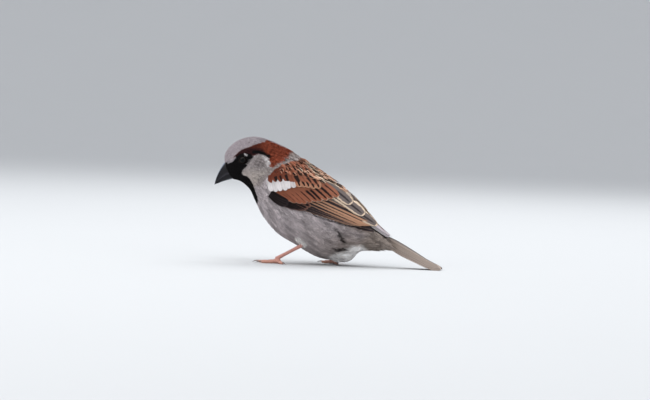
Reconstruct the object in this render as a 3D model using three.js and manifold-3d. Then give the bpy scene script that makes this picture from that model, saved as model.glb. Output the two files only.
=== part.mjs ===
// House sparrow, adult male, life size, as a still museum model. Millimetres, +Z up.
// The bird faces -X, its left side is -Y, and its feet and tail tip rest on Z = 0.
import * as THREE from "three";
import { mergeVertices } from "three/addons/utils/BufferGeometryUtils.js";
import Module from "manifold-3d";

const wasm = await Module();
wasm.setup();

// ---- driving dimensions ----------------------------------------------------------------
const gap = 0.3; // clear space between neighbouring pieces
const around = 24; // facets round the body
const perStation = 2; // rings between two body stations

// Sections of the feathered body from bill base to tail coverts. Each plane is spanned by a
// point on the back line and a point on the belly line: topX, topZ, bottomX, bottomZ, half width.
const bodyStations = [
  [-48.1, 58.3, -43.4, 48.9, 4.4], // bill base
  [-47.6, 65.0, -38.9, 48.1, 7.6], // lores
  [-41.2, 71.8, -35.4, 46.2, 10.4], // brow
  [-31.3, 74.8, -31.6, 42.6, 12.2], // crown
  [-20.9, 72.9, -29.1, 37.8, 13.2], // nape
  [-10.0, 68.3, -26.5, 33.0, 15.6], // neck
  [0.1, 62.1, -22.7, 27.0, 19.2], // shoulder
  [10.2, 56.1, -14.1, 18.0, 21.4], // breast
  [20.3, 49.7, -3.0, 11.8, 21.8], // back
  [29.3, 43.4, 9.1, 5.4, 20.6], // belly
  [35.9, 37.3, 20.2, 3.3, 17.6], // rump
  [41.9, 31.2, 30.3, 4.4, 13.8], // vent
  [48.0, 25.0, 37.4, 10.2, 9.8], // tail root
  [54.5, 18.7, 50.5, 10.4, 6.6], // tail coverts
];

// Cut planes across the body, each through a point on the back and one on the throat.
const headCut = { top: [-14.5, 71.4], bottom: [-33.0, 43.5] };
const neckCut = { top: [-2.5, 65.2], bottom: [-28.0, 34.0] };

// Outline of the folded left wing, seen from the side, from the bend of the wing round the
// back edge to the tip and home along the flank: x, z.
const wingOutline = [
  [-22.0, 46.0], [-21.6, 50.5], [-17.2, 55.0], [-8.3, 56.8], [1.7, 55.4], [11.5, 52.2],
  [21.3, 48.2], [29.0, 42.5], [36.9, 35.6], [43.0, 29.2], [46.3, 24.9], [46.1, 21.3],
  [39.7, 21.8], [32.3, 23.6], [22.9, 25.6], [15.1, 27.8], [5.1, 31.5], [-5.1, 36.0],
  [-14.4, 39.5], [-20.3, 42.0],
];
const wingBend = [-22.0, 46.0];
const wingSides = {
  left: { side: -1, bend: [-22.0, 46.0], turn: 0, scale: 1 },
  right: { side: 1, bend: [-16.0, 44.2], turn: -1.0, scale: 1.04 }, // held a little lower, further back
};
const wingProud = 1.1; // the wing stands this far out from the flank
const wingDepth = { front: 2.4, tip: 1.1 };

// Tail stations: x, upper Z at the midline, lower Z at the outer edge, half width.
const tailStations = [
  [46.0, 16.8, 13.6, 4.4], // root, inside the coverts
  [52.2, 16.9, 11.0, 5.4],
  [58.0, 15.2, 8.8, 6.0],
  [64.0, 12.4, 6.4, 6.5],
  [70.0, 9.4, 4.0, 7.0],
  [76.0, 6.3, 1.5, 7.6],
  [81.0, 3.9, -0.15, 7.9],
  [85.4, 2.2, -0.15, 7.2],
];
const tailThickness = 1.5;
const tailNotch = 2.6; // the middle feathers stop this far short of the outer ones

// Bill: culmen x, z; cutting edge x, z; gonys x, z; half width of the upper and lower mandible.
const billStations = [
  [-47.0, 60.0, -42.6, 52.9, -41.6, 49.6, 4.1, 3.7],
  [-48.4, 58.3, -44.5, 52.0, -43.6, 48.9, 4.0, 3.6],
  [-50.3, 55.2, -47.4, 50.7, -46.7, 47.9, 3.3, 2.9],
  [-52.1, 51.4, -50.1, 48.9, -49.6, 46.9, 2.3, 2.0],
  [-53.2, 48.2, -52.1, 47.1, -51.6, 46.0, 1.3, 1.1],
  [-53.9, 45.0, -53.6, 45.2, -53.0, 45.5, 0.35, 0.3],
];

const eye = { x: -35.3, y: 8.7, z: 60.6, radius: 2.9 };

// Legs: knee inside the body, ankle, ball of the foot, and the way the middle toe points,
// in degrees from straight ahead towards the bird's right.
const legs = {
  left: { knee: [-4.5, -10.5, 26.0], ankle: [4.6, -12.0, 12.8], foot: [-12.0, -12.0], heading: 14 },
  right: { knee: [24.0, 9.5, 24.5], ankle: [34.0, 11.5, 13.4], foot: [19.4, 12.0], heading: -58 },
};
const thighRadii = { knee: 6.5, ankle: 2.1 };
const tarsusRadii = { ankle: 1.35, shaft: 1.1, foot: 1.4 };
const padRadius = 1.7;
const padStretch = 1.35;
const tarsusEndZ = 3.4;
// Each toe: turn from the middle toe's line in degrees, length without the claw, claw length.
const toes = [
  { turn: 180, length: 8.0, claw: 4.6 }, // hallux
  { turn: 34, length: 9.0, claw: 3.4 }, // inner
  { turn: 0, length: 12.0, claw: 3.8 }, // middle
  { turn: -30, length: 9.4, claw: 3.2 }, // outer
];
const middleToe = toes[2];
const halluxSplay = { left: 44, right: -14 }; // extra turn of the hind toe in degrees
const toeRadii = { base: 1.1, tip: 0.82 };
const toeRiseZ = 1.7; // the toes leave the ball of the foot a little higher
const toeAxisZ = 0.82; // lower than the radius, so that each toe stands on a narrow flat
const clawRadius = 0.52;

// ---- shaping helpers -------------------------------------------------------------------

// Uniform Catmull-Rom value of a list of rows at station number s.
function along(rows, s) {
  const last = rows.length - 1;
  const i = Math.min(Math.floor(s), last - 1);
  const u = s - i;
  const row = (k) => {
    if (k < 0) return rows[0].map((v, j) => 2 * v - rows[1][j]);
    if (k > last) return rows[last].map((v, j) => 2 * v - rows[last - 1][j]);
    return rows[k];
  };
  const [a, b, c, d] = [row(i - 1), row(i), row(i + 1), row(i + 2)];
  return b.map((v, j) => {
    const slopeIn = (c[j] - a[j]) / 2;
    const slopeOut = (d[j] - v) / 2;
    const cubic = 2 * v - 2 * c[j] + slopeIn + slopeOut;
    const square = -3 * v + 3 * c[j] - 2 * slopeIn - slopeOut;
    return v + u * (slopeIn + u * (square + u * cubic));
  });
}

// A sphere's grid laid on sections: parallel k of the sphere becomes section(k / rings),
// and its two poles become the middles of the first and last section.
function loft(rings, facets, section) {
  const geometry = new THREE.SphereGeometry(1, facets, rings + 2);
  const position = geometry.attributes.position;
  for (let i = 0; i < position.count; i += 1) {
    const row = Math.floor(i / (facets + 1));
    const turn = ((i % (facets + 1)) % facets) / facets * 2 * Math.PI;
    const t = Math.min(Math.max((row - 1) / rings, 0), 1);
    const pole = row === 0 || row === rings + 2;
    const point = section(t, turn, pole ? 0 : 1);
    position.setXYZ(i, point.x, point.y, point.z);
  }
  return bare(geometry);
}

// Only positions and shared vertices, facing out.
function bare(geometry) {
  geometry.deleteAttribute("normal");
  geometry.deleteAttribute("uv");
  const merged = mergeVertices(geometry, 1e-4);
  if (signedVolume(merged) < 0) {
    const index = merged.index.array;
    for (let i = 0; i < index.length; i += 3) {
      [index[i], index[i + 1]] = [index[i + 1], index[i]];
    }
  }
  return merged;
}

function signedVolume(geometry) {
  const { index, attributes } = geometry;
  const corners = [0, 1, 2].map(() => new THREE.Vector3());
  let volume = 0;
  for (let i = 0; i < index.count; i += 3) {
    corners.forEach((corner, k) => corner.fromBufferAttribute(attributes.position, index.getX(i + k)));
    volume += corners[0].dot(corners[1].cross(corners[2])) / 6;
  }
  return volume;
}

function solid(geometry) {
  return new wasm.Manifold(new wasm.Mesh({
    numProp: 3,
    vertProperties: Float32Array.from(geometry.attributes.position.array),
    triVerts: Uint32Array.from(geometry.index.array),
  }));
}

function surface(manifold) {
  const mesh = manifold.getMesh();
  const geometry = new THREE.BufferGeometry();
  geometry.setAttribute("position", new THREE.BufferAttribute(mesh.vertProperties, 3));
  geometry.setIndex(new THREE.BufferAttribute(mesh.triVerts, 1));
  return geometry;
}

// A round bar along a list of points, with a radius at each, closed by rounded-off ends.
function bar(points, radii, facets, rings) {
  const rows = points.map((p, i) => [...p, radii[i]]);
  const last = points.length - 1;
  const ahead = new THREE.Vector3(...points[last]).sub(new THREE.Vector3(...points[0])).normalize();
  const side = new THREE.Vector3(-ahead.y, ahead.x, 0);
  if (side.lengthSq() < 1e-6) side.set(0, 1, 0);
  side.normalize();
  const up = ahead.clone().cross(side).normalize();
  return loft(rings, facets, (t, turn, spread) => {
    const [x, y, z, radius] = along(rows, t * last);
    return new THREE.Vector3(x, y, z)
      .addScaledVector(side, spread * radius * Math.cos(turn))
      .addScaledVector(up, spread * radius * Math.sin(turn));
  });
}

// ---- body envelope ---------------------------------------------------------------------

// The feathered body, shrunk by inset and widened by proud. Insets may differ front to back.
function bodyEnvelope({ insetFront = 0, insetTail = insetFront, proud = 0 } = {}) {
  const last = bodyStations.length - 1;
  return loft(last * perStation, around, (t, turn, spread) => {
    const [topX, topZ, bottomX, bottomZ, halfWidth] = along(bodyStations, t * last);
    const inset = insetFront + (insetTail - insetFront) * t;
    const halfDepth = Math.hypot(topX - bottomX, topZ - bottomZ) / 2;
    const depthScale = spread * (1 - inset / halfDepth) * Math.cos(turn);
    const width = spread * (halfWidth + proud - inset) * Math.sin(turn);
    return new THREE.Vector3(
      (topX + bottomX) / 2 + depthScale * (topX - bottomX) / 2,
      width,
      (topZ + bottomZ) / 2 + depthScale * (topZ - bottomZ) / 2,
    );
  });
}

// A large block on the tail side of a cut plane, moved back by offset.
function behind(cut, offset) {
  const size = 200;
  const block = new THREE.BoxGeometry(size, size, size);
  const tilt = Math.atan2(cut.top[0] - cut.bottom[0], cut.top[1] - cut.bottom[1]);
  block.translate(size / 2 + offset, 0, 0);
  block.rotateY(tilt);
  block.translate((cut.top[0] + cut.bottom[0]) / 2, 0, (cut.top[1] + cut.bottom[1]) / 2);
  return solid(bare(block));
}

// The side view of a folded wing, run through from near the midline to well past the flank.
function wingPrism({ side, bend, turn, scale }, grow) {
  const angle = THREE.MathUtils.degToRad(turn);
  const points = wingOutline.map(([x, z]) => {
    const away = new THREE.Vector2(x - wingBend[0], z - wingBend[1]).multiplyScalar(scale);
    away.rotateAround(new THREE.Vector2(), angle);
    return away.add(new THREE.Vector2(...bend));
  });
  const middle = points.reduce((sum, p) => sum.add(p), new THREE.Vector2()).divideScalar(points.length);
  const smooth = new THREE.SplineCurve([...points, points[0]]).getPoints(36).slice(0, -1);
  const outline = smooth.map((p, i) => {
    const before = smooth[(i + smooth.length - 1) % smooth.length];
    const after = smooth[(i + 1) % smooth.length];
    const normal = new THREE.Vector2(after.y - before.y, before.x - after.x).normalize();
    if (normal.dot(p.clone().sub(middle)) < 0) normal.negate();
    return p.clone().addScaledVector(normal, grow);
  });
  const depth = 40;
  const block = new THREE.ExtrudeGeometry(new THREE.Shape(outline), { depth, bevelEnabled: false });
  block.rotateX(Math.PI / 2); // the outline now stands in XZ and runs from Y = 0 to Y = -depth
  block.translate(0, grow - gap / 2, 0);
  if (side > 0) block.scale(1, -1, 1);
  return solid(bare(block));
}

// ---- flesh -----------------------------------------------------------------------------

function bodyPieces() {
  const envelope = solid(bodyEnvelope());
  const wide = solid(bodyEnvelope({ proud: wingProud }));
  const inner = solid(bodyEnvelope({ insetFront: wingDepth.front, insetTail: wingDepth.tip }));
  const innermost = solid(bodyEnvelope({
    insetFront: wingDepth.front + gap,
    insetTail: wingDepth.tip + gap,
  }));
  const wings = {};
  let rest = envelope;
  for (const [name, pose] of Object.entries(wingSides)) {
    wings[name] = wide.intersect(wingPrism(pose, 0)).subtract(inner);
    rest = rest.subtract(wingPrism(pose, gap).subtract(innermost));
  }
  const head = rest.subtract(behind(headCut, -gap / 2));
  const neck = rest.intersect(behind(headCut, gap / 2)).subtract(behind(neckCut, -gap / 2));
  const trunk = rest.intersect(behind(neckCut, gap / 2));
  return { head, neck, trunk, wings };
}

function tail(grow) {
  const last = tailStations.length - 1;
  return solid(loft(last + 2, 20, (t, turn, spread) => {
    const [x, upper, lower, halfWidth] = along(tailStations, t * last);
    const y = (halfWidth + grow) * Math.sin(turn) * spread;
    const across = y / halfWidth;
    const drop = upper - lower - tailThickness;
    const notch = tailNotch * Math.max(0, t - 0.6) / 0.4;
    const half = tailThickness / 2 + grow;
    return new THREE.Vector3(
      x - notch * (1 - across * across) - (1 - t) * grow,
      y,
      upper - tailThickness / 2 - drop * across * across + spread * half * Math.cos(turn),
    );
  })).intersect(aboveFloor());
}

function thigh({ knee, ankle }, grow) {
  const middle = knee.map((v, i) => v * 0.45 + ankle[i] * 0.55);
  const radii = [thighRadii.knee * 0.75, thighRadii.knee * 0.8, thighRadii.ankle];
  return solid(bar([knee, middle, ankle], radii.map((r) => r + grow), 12, 5));
}

// The shank with the ball of the foot, which is flat below.
function tarsus({ ankle, foot }, grow) {
  const end = [foot[0], foot[1], tarsusEndZ];
  const top = ankle.map((v, i) => v + (end[i] - v) * 0.045);
  const third = top.map((v, i) => v + (end[i] - v) * 0.35);
  const most = top.map((v, i) => v + (end[i] - v) * 0.8);
  const radii = [tarsusRadii.ankle, tarsusRadii.shaft, tarsusRadii.shaft, tarsusRadii.foot];
  const shank = solid(bar([top, third, most, end], radii.map((r) => r + grow), 10, 5));
  const pad = new THREE.SphereGeometry(padRadius + grow, 10, 8);
  pad.scale(1, 1, padStretch);
  pad.translate(foot[0], foot[1], padRadius * padStretch - 0.2);
  return shank.add(solid(bare(pad))).intersect(aboveFloor());
}

function aboveFloor() {
  const size = 400;
  const block = new THREE.BoxGeometry(size, size, size);
  block.translate(0, 0, size / 2);
  return solid(bare(block));
}

// The level direction of a toe.
function toeDirection(side, leg, toe) {
  const splay = toe.turn === 180 ? halluxSplay[side] : 0;
  const mirror = side === "left" ? 1 : -1;
  const angle = THREE.MathUtils.degToRad((leg.heading + toe.turn + splay) * mirror);
  return new THREE.Vector2(-Math.cos(angle), Math.sin(angle));
}

function toe(side, leg, spec, grow = 0) {
  const way = toeDirection(side, leg, spec);
  const start = padRadius + gap - 0.25 - 3 * grow;
  const at = ([d, z]) => [leg.foot[0] + way.x * d, leg.foot[1] + way.y * d, z];
  const joints = [
    [start, toeRiseZ], [start + 0.3, toeRiseZ], [spec.length * 0.55, toeAxisZ],
    [spec.length - 0.25, toeAxisZ], [spec.length, toeAxisZ],
  ];
  const radii = [0.8, toeRadii.base, 0.95, toeRadii.tip, 0.5];
  return solid(bar(joints.map(at), radii.map((r) => r + grow), 8, 6)).intersect(aboveFloor());
}

// A claw leaves the toe level, arches and comes down to its point just over the floor.
function claw(side, leg, spec) {
  const way = toeDirection(side, leg, spec);
  const at = (d, z) => [leg.foot[0] + way.x * (spec.length + gap + d), leg.foot[1] + way.y * (spec.length + gap + d), z];
  const points = [at(0, 0.95), at(spec.claw * 0.35, 1.12), at(spec.claw * 0.7, 0.85), at(spec.claw, 0.22)];
  return solid(bar(points, [clawRadius, 0.46, 0.33, 0.12], 6, 5));
}

// ---- bill and eyes ---------------------------------------------------------------------

// One mandible: sections spanned by an upper and a lower line, squarer towards the cutting edge.
function mandible(pick, edgeUp, grow) {
  const last = billStations.length - 1;
  return loft(last * 2, 12, (t, turn, spread) => {
    const [topX, topZ, bottomX, bottomZ, halfWidth] = pick(along(billStations, t * last));
    const rise = Math.cos(turn);
    const blunt = edgeUp === rise > 0;
    const height = blunt ? Math.sign(rise) * Math.sqrt(Math.abs(rise)) : rise;
    const halfDepth = Math.hypot(topX - bottomX, topZ - bottomZ) / 2;
    const reach = spread * height * (1 + grow / halfDepth);
    return new THREE.Vector3(
      (topX + bottomX) / 2 + reach * (topX - bottomX) / 2,
      spread * (halfWidth + grow) * Math.sin(turn),
      (topZ + bottomZ) / 2 + reach * (topZ - bottomZ) / 2,
    );
  });
}

const upperMandible = (grow) => solid(mandible((s) => [s[0], s[1], s[2], s[3], s[6]], false, grow));
const lowerMandible = (grow) => solid(mandible((s) => [s[2], s[3] - gap, s[4], s[5], s[7]], true, grow));

function eyeball(side, grow) {
  const ball = new THREE.SphereGeometry(eye.radius + grow, 14, 9);
  ball.translate(eye.x, side * eye.y, eye.z);
  return solid(bare(ball));
}

// ---- materials -------------------------------------------------------------------------

const finish = (color, roughness) => () => new THREE.MeshStandardMaterial({ color, roughness, metalness: 0 });
const greyFeather = finish(0x958b8c, 0.85);
const breastFeather = finish(0xa59d9c, 0.85);
const rufousFeather = finish(0x8a5238, 0.8);
const tailFeather = finish(0x8c7c74, 0.75);
const horn = finish(0x17161b, 0.35);
const cornea = finish(0x0b0807, 0.08);
const scaledSkin = finish(0xc07f70, 0.5);
const clawHorn = finish(0x5d4c48, 0.4);

// ---- assembly --------------------------------------------------------------------------

const bird = new THREE.Group();

function place(name, manifold, material) {
  const mesh = new THREE.Mesh(surface(manifold), material());
  mesh.name = name;
  bird.add(mesh);
}

const body = bodyPieces();
let trunk = body.trunk.subtract(tail(gap));
for (const [side, leg] of Object.entries(legs)) {
  trunk = trunk.subtract(thigh(leg, gap)).subtract(tarsus(leg, gap));
  place(`thigh_${side}`, thigh(leg, 0), breastFeather);
  place(`tarsus_${side}`, tarsus(leg, 0).subtract(thigh(leg, gap)), scaledSkin);
  toes.forEach((spec, i) => {
    const clear = spec === middleToe ? tarsus(leg, gap) : toe(side, leg, middleToe, gap);
    place(`toe_${side}_${i + 1}`, toe(side, leg, spec).subtract(clear), scaledSkin);
    place(`claw_${side}_${i + 1}`, claw(side, leg, spec), clawHorn);
  });
  place(`wing_${side}`, body.wings[side].subtract(tail(gap)), rufousFeather);
}
let head = body.head.subtract(upperMandible(gap)).subtract(lowerMandible(gap));
for (const [name, side] of [["left", -1], ["right", 1]]) {
  head = head.subtract(eyeball(side, gap));
  place(`eye_${name}`, eyeball(side, 0), cornea);
}
place("head", head, greyFeather);
place("neck", body.neck, greyFeather);
place("trunk", trunk, breastFeather);
place("tail", tail(0), tailFeather);
place("bill_upper", upperMandible(0), horn);
place("bill_lower", lowerMandible(0), horn);

// The origin is the middle of the bird's own length and width, at floor level.
const extent = new THREE.Box3().setFromObject(bird);
const middle = extent.getCenter(new THREE.Vector3());
bird.position.set(-middle.x, -middle.y, 0);

export default bird;
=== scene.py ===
# House sparrow, adult male, life size, as a still model. Metres, +Z up, the bird faces -X.
import math

import bpy
from mathutils import Matrix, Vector
import numpy as np


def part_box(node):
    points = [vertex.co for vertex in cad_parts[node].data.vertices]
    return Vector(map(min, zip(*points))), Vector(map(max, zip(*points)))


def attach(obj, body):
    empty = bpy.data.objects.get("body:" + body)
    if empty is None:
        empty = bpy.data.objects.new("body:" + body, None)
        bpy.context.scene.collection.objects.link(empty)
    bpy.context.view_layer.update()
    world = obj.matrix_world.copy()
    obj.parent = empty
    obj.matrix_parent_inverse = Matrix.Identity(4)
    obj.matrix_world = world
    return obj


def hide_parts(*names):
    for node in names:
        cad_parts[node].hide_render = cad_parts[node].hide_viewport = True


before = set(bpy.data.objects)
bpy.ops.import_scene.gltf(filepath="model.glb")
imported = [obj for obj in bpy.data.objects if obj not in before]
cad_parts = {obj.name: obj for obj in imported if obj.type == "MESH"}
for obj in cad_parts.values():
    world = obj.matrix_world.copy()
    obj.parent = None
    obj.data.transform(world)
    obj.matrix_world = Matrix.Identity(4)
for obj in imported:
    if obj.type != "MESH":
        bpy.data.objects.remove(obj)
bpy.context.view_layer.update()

rng = np.random.default_rng(7)
mm = 0.001
billTip = (-53.9, 45.0)                      # mm in the bird's own drawing, as in the solids
footLeft, footRight = (-12.0, -12.0), (19.4, 12.0)
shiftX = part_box("bill_upper")[0].x / mm - billTip[0]
shiftY = (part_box("tarsus_left")[0].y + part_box("tarsus_left")[1].y) / 2 / mm - footLeft[1]


def toModel(points):
    # drawing millimetres to the frame's metres
    return (np.asarray(points, float) + (shiftX, shiftY, 0.0)) * mm


# topX, topZ, bottomX, bottomZ, half width: the back line and belly line point by point
bodyStations = np.array([
    (-48.1, 58.3, -43.4, 48.9, 4.4),         # bill base
    (-47.6, 65.0, -38.9, 48.1, 7.6),         # lores
    (-41.2, 71.8, -35.4, 46.2, 10.4),        # brow
    (-31.3, 74.8, -31.6, 42.6, 12.2),        # crown
    (-20.9, 72.9, -29.1, 37.8, 13.2),        # nape
    (-10.0, 68.3, -26.5, 33.0, 15.6),        # neck
    (0.1, 62.1, -22.7, 27.0, 19.2),          # shoulder
    (10.2, 56.1, -14.1, 18.0, 21.4),         # breast
    (20.3, 49.7, -3.0, 11.8, 21.8),          # back
    (29.3, 43.4, 9.1, 5.4, 20.6),            # belly
    (35.9, 37.3, 20.2, 3.3, 17.6),           # rump
    (41.9, 31.2, 30.3, 4.4, 13.8),           # vent
    (48.0, 25.0, 37.4, 10.2, 9.8),           # tail root
    (54.5, 18.7, 50.5, 10.4, 6.6),           # tail coverts
    (61.0, 14.6, 60.0, 9.6, 6.0),            # over the tail feathers
])
skinEnd = 13.0                               # the skin stops at the tail coverts

# depth of the coat over the skin in mm, at back, side and belly, station by station
coatDepth = np.array([
    (0.4, 0.4, 0.4), (0.7, 0.6, 0.7), (0.9, 0.8, 0.9), (1.1, 1.0, 1.3), (1.5, 1.5, 2.0),
    (2.0, 2.2, 2.6), (2.4, 3.0, 3.2), (2.6, 3.2, 3.6), (2.6, 3.2, 3.6), (2.6, 3.2, 3.6),
    (2.6, 3.0, 3.4), (2.4, 2.8, 3.0), (2.0, 2.2, 2.4), (1.6, 1.6, 1.6), (1.2, 1.2, 1.2),
])


def along(rows, s):
    # uniform Catmull-Rom through the rows, for an array of station numbers
    rows = np.asarray(rows, float)
    ext = np.vstack([2 * rows[0] - rows[1], rows, 2 * rows[-1] - rows[-2]])
    s = np.clip(np.asarray(s, float), 0, len(rows) - 1)
    i = np.minimum(s.astype(int), len(rows) - 2)
    u = (s - i)[..., None]
    a, b, c, d = ext[i], ext[i + 1], ext[i + 2], ext[i + 3]
    slopeIn, slopeOut = (c - a) / 2, (d - b) / 2
    square = 3 * (c - b) - 2 * slopeIn - slopeOut
    cube = 2 * (b - c) + slopeIn + slopeOut
    return b + u * (slopeIn + u * (square + u * cube))


def bodyPoint(s, turn, lift=0.0):
    # section plane through the back and belly point, an ellipse in it; lift in mm outward
    tx, tz, bx, bz, w = np.moveaxis(along(bodyStations, s), -1, 0)
    half = np.hypot(tx - bx, tz - bz) / 2
    c = np.cos(turn) * (1 + lift / half)
    return np.stack([(tx + bx) / 2 + c * (tx - bx) / 2, (w + lift) * np.sin(turn),
                     (tz + bz) / 2 + c * (tz - bz) / 2], -1)


def unit(v):
    return v / np.maximum(np.linalg.norm(v, axis=-1, keepdims=True), 1e-12)


def bodyFrame(s, turn):
    # outward normal and the two tangents, from small steps along and round the body
    e = 1e-3
    s = np.clip(s, e, len(bodyStations) - 1 - e)
    aft = (bodyPoint(s + e, turn) - bodyPoint(s - e, turn)) / (2 * e)
    around = (bodyPoint(s, turn + e) - bodyPoint(s, turn - e)) / (2 * e)
    return unit(np.cross(aft, around)), aft, around


def smooth(lo, hi, x):
    t = np.clip((x - lo) / (hi - lo), 0, 1)
    return t * t * (3 - 2 * t)


def threeWay(table, s, turn):
    # back, side and belly values of each station, blended round the section by cosine squared
    back, side, belly = np.moveaxis(along(table, s), -1, 0)
    c = np.cos(turn)
    return side + np.where(c > 0, back - side, belly - side) * c * c


def sideCoordinates(x, z):
    # station number and cosine of the turn at a point of the side view: the section line
    # through the point is where the cross product with that line changes sign
    x, z = np.asarray(x, float), np.asarray(z, float)
    s = np.linspace(0, len(bodyStations) - 1, 421)
    tx, tz, bx, bz = along(bodyStations, s).T[:4]
    f = (x[..., None] - bx) * (tz - bz) - (z[..., None] - bz) * (tx - bx)
    i = np.clip((f > 0).sum(-1) - 1, 0, len(s) - 2)
    f0 = np.take_along_axis(f, i[..., None], -1)[..., 0]
    f1 = np.take_along_axis(f, i[..., None] + 1, -1)[..., 0]
    t = np.clip(f0 / np.where(np.abs(f0 - f1) < 1e-9, 1, f0 - f1), 0, 1)
    s = s[i] + t * (s[1] - s[0])
    tx, tz, bx, bz = np.moveaxis(along(bodyStations, s), -1, 0)[:4]
    dx, dz = (tx - bx) / 2, (tz - bz) / 2
    c = ((x - (tx + bx) / 2) * dx + (z - (tz + bz) / 2) * dz) / (dx * dx + dz * dz)
    return s, c


def makeMesh(name, points, faceSets, uv=None, attributes=None, material=None, flip=False):
    # points in drawing mm; faceSets is a list of (n, 3) and (n, 4) index arrays
    mesh = bpy.data.meshes.new(name)
    points = toModel(points).reshape(-1, 3)
    mesh.vertices.add(len(points))
    mesh.vertices.foreach_set("co", points.astype(np.float32).ravel())
    if flip:
        faceSets = [f[:, ::-1] for f in faceSets]
    corners = np.concatenate([f.ravel() for f in faceSets]).astype(np.int32)
    sizes = np.concatenate([np.full(len(f), f.shape[1]) for f in faceSets])
    mesh.loops.add(len(corners))
    mesh.loops.foreach_set("vertex_index", corners)
    mesh.polygons.add(len(sizes))
    mesh.polygons.foreach_set("loop_start", np.concatenate([[0], np.cumsum(sizes)[:-1]]).astype(np.int32))
    mesh.update(calc_edges=True)
    mesh.polygons.foreach_set("use_smooth", np.ones(len(sizes), bool))
    if uv is not None:
        layer = mesh.uv_layers.new(name="OFBake")
        layer.data.foreach_set("uv", np.asarray(uv, np.float32).reshape(-1, 2)[corners].ravel())
    paint(mesh, attributes or {})
    piece = bpy.data.objects.new(name, mesh)
    bpy.context.scene.collection.objects.link(piece)
    if material:
        mesh.materials.append(material)
    return piece


def paint(mesh, attributes):
    # one colour (four numbers) or one vector (three numbers) for each point
    for key, values in attributes.items():
        values = np.asarray(values, np.float32)
        kind, field = ("FLOAT_COLOR", "color") if values.shape[-1] == 4 else ("FLOAT_VECTOR", "vector")
        mesh.attributes.new(key, kind, "POINT").data.foreach_set(field, values.ravel())


def tubeFaces(rings, columns):
    # quads between each pair of rings, then fans at the first and last pole point
    j, k = np.meshgrid(np.arange(rings - 1), np.arange(columns), indexing="ij")
    a = 1 + j * columns + k
    b = 1 + j * columns + (k + 1) % columns
    quads = np.stack([a, a + columns, b + columns, b], -1).reshape(-1, 4)
    k = np.arange(columns)
    end = 1 + rings * columns
    start = end - columns
    first = np.stack([1 + k, 1 + (k + 1) % columns, np.zeros(columns, int)], -1)
    last = np.stack([start + (k + 1) % columns, start + k, np.full(columns, end)], -1)
    return [quads, np.concatenate([first, last])]


def tubePoints(rings):
    # rings (..., n, m, 3), with the middles of the first and last ring as poles
    flat = rings.reshape(*rings.shape[:-3], -1, rings.shape[-1])
    return np.concatenate([rings[..., :1, :, :].mean(-2), flat, rings[..., -1:, :, :].mean(-2)], -2)


def repeatFaces(faceSets, count, vertices):
    step = (np.arange(count) * vertices)[:, None, None]
    return [(f[None] + step).reshape(-1, f.shape[1]) for f in faceSets]


class Finish:
    # short hands for building a material's nodes
    def __init__(self, name, **values):
        self.material = bpy.data.materials.new(name)
        self.material.use_nodes = True
        self.tree = self.material.node_tree
        self.shader = self.tree.nodes["Principled BSDF"]
        for key, value in values.items():
            self.put(self.shader.inputs[key.replace("_", " ")], value)

    def put(self, socket, value):
        if isinstance(value, bpy.types.NodeSocket):
            self.tree.links.new(value, socket)
        else:
            socket.default_value = value

    def add(self, kind, values=None, **settings):
        node = self.tree.nodes.new(kind)
        for key, value in settings.items():
            setattr(node, key, value)
        for key, value in (values or {}).items():
            self.put(node.inputs[key], value)
        return node

    def math(self, operation, a, b=0.0, c=0.0, clamp=False):
        return self.add("ShaderNodeMath", {0: a, 1: b, 2: c}, operation=operation,
                        use_clamp=clamp).outputs[0]

    def mix(self, amount, a, b, blend="MIX"):
        node = self.add("ShaderNodeMix", data_type="RGBA", blend_type=blend)
        for key, value in ((0, amount), (6, a), (7, b)):
            self.put(node.inputs[key], value)
        return node.outputs[2]

    def span(self, value, lo, hi, outLo=0.0, outHi=1.0):
        node = self.add("ShaderNodeMapRange", interpolation_type="SMOOTHSTEP")
        limits = (("Value", value), ("From Min", lo), ("From Max", hi), ("To Min", outLo), ("To Max", outHi))
        for key, item in limits:
            self.put(node.inputs[key], item)
        return node.outputs["Result"]

    def noise(self, vector, scale, detail=3.0, rough=0.5):
        node = self.add("ShaderNodeTexNoise",
                        {"Vector": vector, "Scale": scale, "Detail": detail, "Roughness": rough})
        return node.outputs["Fac"]

    def place(self):
        return self.add("ShaderNodeTexCoord").outputs["Object"]

    def attribute(self, name):
        return self.add("ShaderNodeAttribute", attribute_name=name)

    def parts(self, vector):
        return self.add("ShaderNodeSeparateXYZ", {0: vector}).outputs

    def bump(self, height, strength, distance):
        node = self.add("ShaderNodeBump", {"Height": height, "Strength": strength, "Distance": distance})
        self.put(self.shader.inputs["Normal"], node.outputs["Normal"])


def colour(code, gain=1.0):
    # a screen colour such as a49b9e as linear light
    v = np.array([int(code[i:i + 2], 16) for i in (0, 2, 4)]) / 255
    return np.where(v <= 0.04045, v / 12.92, ((v + 0.055) / 1.055) ** 2.4) * gain


def mixed(a, b, t):
    return a + (b - a) * np.asarray(t)[..., None]


def insideDepth(xz, outline):
    # distance to the outline in mm, positive inside it: nearest point of each edge, and a
    # count of the edges crossed to the right
    a = np.asarray(outline, float)
    b = np.roll(a, -1, axis=0)
    p = xz[:, None, :]
    d = b - a
    t = np.clip(((p - a) * d).sum(-1) / (d * d).sum(-1), 0, 1)
    gap = np.linalg.norm(p - a - t[..., None] * d, axis=-1).min(-1)
    px, pz = xz[:, :1], xz[:, 1:]
    over = (a[:, 1] > pz) != (b[:, 1] > pz)
    cross = a[:, 0] + (pz - a[:, 1]) / np.where(d[:, 1] == 0, 1e-9, d[:, 1]) * d[:, 0]
    return np.where((over & (px < cross)).sum(-1) % 2 == 1, gap, -gap)


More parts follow.
